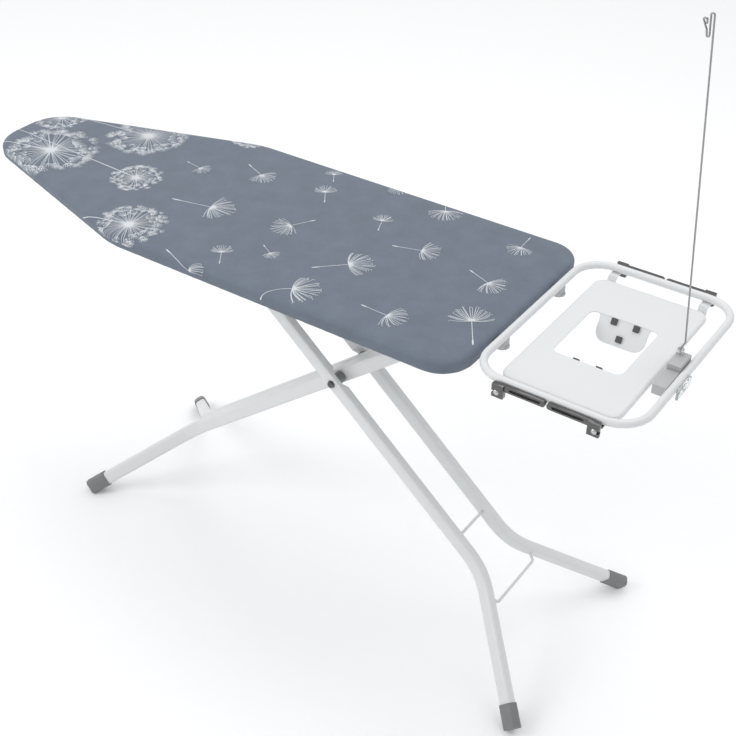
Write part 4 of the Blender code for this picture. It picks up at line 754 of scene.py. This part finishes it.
def ribbon(line, widths):
    """Adds one flat ribbon along a line of the flat cloth."""
    line = np.asarray(line, float)
    run = np.concatenate([[0], np.cumsum(np.linalg.norm(np.diff(line, axis=0), axis=1))])
    count = max(2, int(math.ceil(run[-1] / 0.0032)) + 1)
    at = np.linspace(0, run[-1], count)
    line = np.column_stack([np.interp(at, run, line[:, 0]), np.interp(at, run, line[:, 1])])
    wide = np.interp(at / run[-1], np.linspace(0, 1, len(widths)), widths) / 2
    ahead = np.gradient(line, axis=0)
    ahead /= np.linalg.norm(ahead, axis=1)[:, None]
    side = np.column_stack([-ahead[:, 1], ahead[:, 0]]) * wide[:, None]
    first = len(ink_flat)
    layer = len(ink_faces) * 7 % INK_LAYERS
    for left, right_side in zip(line + side, line - side):
        ink_flat.extend([left, right_side])
        ink_layer.extend([layer, layer])
    for k in range(count - 1):
        a = first + 2 * k
        ink_faces.append((a, a + 1, a + 3, a + 2))


def bent(start, angle, length, bend, points=9):
    """A line that leaves start at an angle and turns by bend over its length, both in degrees."""
    line = [np.array(start, float)]
    for k in range(points - 1):
        heading = math.radians(angle + bend * (k + 0.5) / (points - 1))
        line.append(line[-1] + length / (points - 1) * np.array((math.cos(heading), math.sin(heading))))
    return line


def seed(x, y, stem_angle, stem, reach, chance, stem_bend=0.0):
    """A drifting seed: a stem with a grain at its end, and a fan of hairs on the other side."""
    fine = 0.00042 + reach * 0.012
    stalk = bent((x, y), stem_angle, stem, stem_bend)
    ribbon(stalk, [fine * 1.3, fine * 1.2, fine * 1.3, fine * 1.7])
    ribbon(stalk[-3:], [fine * 1.2, fine * 2.8, fine * 3.2, fine * 1.8])
    hairs = 13 + int(reach * 260)
    for k in range(hairs):
        spread = -1 + 2 * k / (hairs - 1)
        angle = stem_angle + 180 + 98 * spread + chance.uniform(-4, 4)
        bend = -34 * spread + chance.uniform(-10, 10)
        length = reach * (0.98 - 0.16 * abs(spread) + chance.uniform(-0.10, 0.06))
        hair = bent((x, y), angle, length, bend)
        ribbon(hair, [fine * 1.15, fine * 0.85, fine, fine * 0.8])
        barb = angle + bend + chance.choice((-62, 62))
        ribbon(bent(hair[-1], barb, reach * 0.07, 0, 3), [fine * 0.9, fine * 0.7])
    ribbon(bent((x, y), stem_angle + 180, reach * 0.06, 0, 3), [fine * 3.2, fine * 2.2])


chance = random.Random(12)
SEEDS = [(-0.208, 0.115, 157, 0.054, 0.036), (-0.059, 0.130, -55, 0.041, 0.028),
         (0.174, 0.203, 122, 0.034, 0.039), (-0.034, -0.012, 59, 0.050, 0.039),
         (0.097, 0.101, -68, 0.037, 0.025), (-0.003, -0.113, 151, 0.032, 0.020),
         (0.137, -0.063, -136, 0.067, 0.046), (0.218, 0.053, -163, 0.057, 0.037),
         (0.360, 0.166, 94, 0.042, 0.030), (0.373, 0.027, 159, 0.052, 0.036),
         (0.286, -0.159, 178, 0.055, 0.037), (0.412, -0.092, -57, 0.068, 0.045),
         (-0.329, 0.067, 170, 0.041, 0.025), (-0.204, -0.044, -168, 0.086, 0.049),
         (-0.077, -0.162, -55, 0.039, 0.026), (-0.098, -0.236, 160, 0.074, 0.036),
         (0.049, 0.229, 124, 0.036, 0.028), (-0.089, 0.200, -56, 0.030, 0.022)]
for x, y, angle, stem, reach in SEEDS:
    seed(x, y, angle, stem, reach, chance)
seed(0.104, -0.185, -152, 0.074, 0.050, chance, 62)
print("seeds", len(SEEDS) + 1, "ribbon faces so far", len(ink_faces))

# %% [markdown]
# A clock is the round head that the seeds leave. Straight spokes of uneven length run from a dense
# heart, and each ends in a small open tuft. Tufts also sit between the spokes near the rim, so the
# head looks like a ball of down and not like a wheel.

# %% Clocks
def clock(x, y, stem_angle, stem, reach, chance):
    heart = np.array((x, y))
    fine = 0.00060 + reach * 0.003
    ribbon(bent(heart, stem_angle, stem, 0), [fine * 3.2, fine * 2.2, fine * 2.0])
    spokes = 34 + int(reach * 260)
    for k in range(spokes):
        angle = 360 * k / spokes + chance.uniform(-3, 3)
        length = reach * chance.choice((0.50, 0.60, 0.70, 0.76, 0.80)) * (1 + chance.uniform(-0.05, 0.05))
        spoke = bent(heart, angle, length, chance.uniform(-5, 5))
        ribbon(spoke, [fine * 1.6, fine * 1.05, fine * 0.9])
        tuft(spoke[-1], angle, reach * chance.uniform(0.13, 0.20), fine, chance)
    for k in range(int(spokes * 1.1)):
        angle = chance.uniform(0, 360)
        spot = heart + reach * chance.uniform(0.66, 0.92) * np.array((math.cos(math.radians(angle)),
                                                                      math.sin(math.radians(angle))))
        tuft(spot, angle, reach * chance.uniform(0.10, 0.16), fine * 0.9, chance)
    for k in range(26):
        ribbon(bent(heart, 360 * k / 26 + chance.uniform(-6, 6), reach * chance.uniform(0.08, 0.17), 20, 4),
               [fine * 2.6, fine * 1.6, fine * 0.9])


def tuft(spot, angle, reach, fine, chance):
    for spread in (-78, -42, -12, 16, 47, 80):
        lean = spread + chance.uniform(-9, 9)
        length = reach * chance.uniform(0.75, 1.1)
        ribbon(bent(spot, angle + lean, length, -0.7 * lean, 5), [fine, fine * 0.8])


CLOCKS = [(-0.637, -0.050, -168, 0.160, 0.102), (-0.516, 0.116, -175, 0.200, 0.089),
          (-0.407, -0.038, 177, 0.400, 0.055), (-0.286, -0.184, -168, 0.170, 0.074),
          (-0.735, 0.075, -176, 0.060, 0.060), (-0.330, 0.238, 129, 0.030, 0.050)]
for x, y, angle, stem, reach in CLOCKS:
    clock(x, y, angle, stem, reach, chance)
ink_flat = np.array(ink_flat)
within = nearest(ink_flat)[1]
kept = [f for f in ink_faces if min(within[list(f)]) > SOFT - walked[-1] + PRINT_EDGE]
used = sorted({i for f in kept for i in f})
renumber = {old: new for new, old in enumerate(used)}
heights = INK_LOW + INK_STEP * np.array(ink_layer)[used]
ink = lay_down("cover_print", on_cloth(ink_flat[used], heights), [[renumber[i] for i in f] for f in kept],
               white_ink, "board")
flat_map(ink, ink_flat[used])
if sum(p.normal.z * p.area for p in ink.data.polygons) < 0:
    ink.data.flip_normals()
print("print", len(ink.data.polygons), "faces")

# %% [markdown]
# The floor and the light. A wide pale floor and a pale sky give the even light of a studio, one
# large soft lamp on the left models the tubes, and a smaller one lifts the shaded side.

# %% Floor and light
alone()
bpy.ops.mesh.primitive_plane_add(size=40, location=(0, 0, -0.0005))
floor = bpy.context.object
floor.name = "floor"
paper = Finish("pale_floor", Roughness=0.9, Specular_IOR_Level=0.1)
grain = paper.noise(0.02, paper.place(), 4.0)
floor.data.materials.append(paper.set(Base_Color=paper.blend(grain, (0.97, 0.97, 0.97), (0.99, 0.99, 0.99))))
sky = bpy.data.worlds.new("sky")
dome = Bench(sky)
height = dome.node("SeparateXYZ", {}, {0: dome.node("TexCoord", {}, {}, "Generated")}, "Z")
bright = dome.node("MapRange", {"clamp": True}, {"Value": height, "From Min": 0.0, "From Max": 0.55,
                                                 "To Min": 0.56, "To Max": 0.90})
dome.put(sky.node_tree.nodes["Background"].inputs["Color"], (0.985, 0.99, 1.0))
dome.put(sky.node_tree.nodes["Background"].inputs["Strength"], bright)
bpy.context.scene.world = sky


def soft_box(name, spot, target, size, power):
    lamp = bpy.data.lights.new(name, "AREA")
    lamp.shape, lamp.size, lamp.size_y, lamp.energy = "RECTANGLE", size[0], size[1], power
    holder = bpy.data.objects.new(name, lamp)
    holder.location = spot
    holder.rotation_euler = (Vector(target) - Vector(spot)).to_track_quat("-Z", "Y").to_euler()
    bpy.context.scene.collection.objects.link(holder)


soft_box("left_box", (-2.6, -2.9, 3.2), (0, 0, 0.5), (2.4, 2.4), 58)
soft_box("top_box", (0.3, 1.0, 3.6), (0, 0, 0.4), (2.6, 2.0), 24)
print("lit by a sky and two soft boxes")
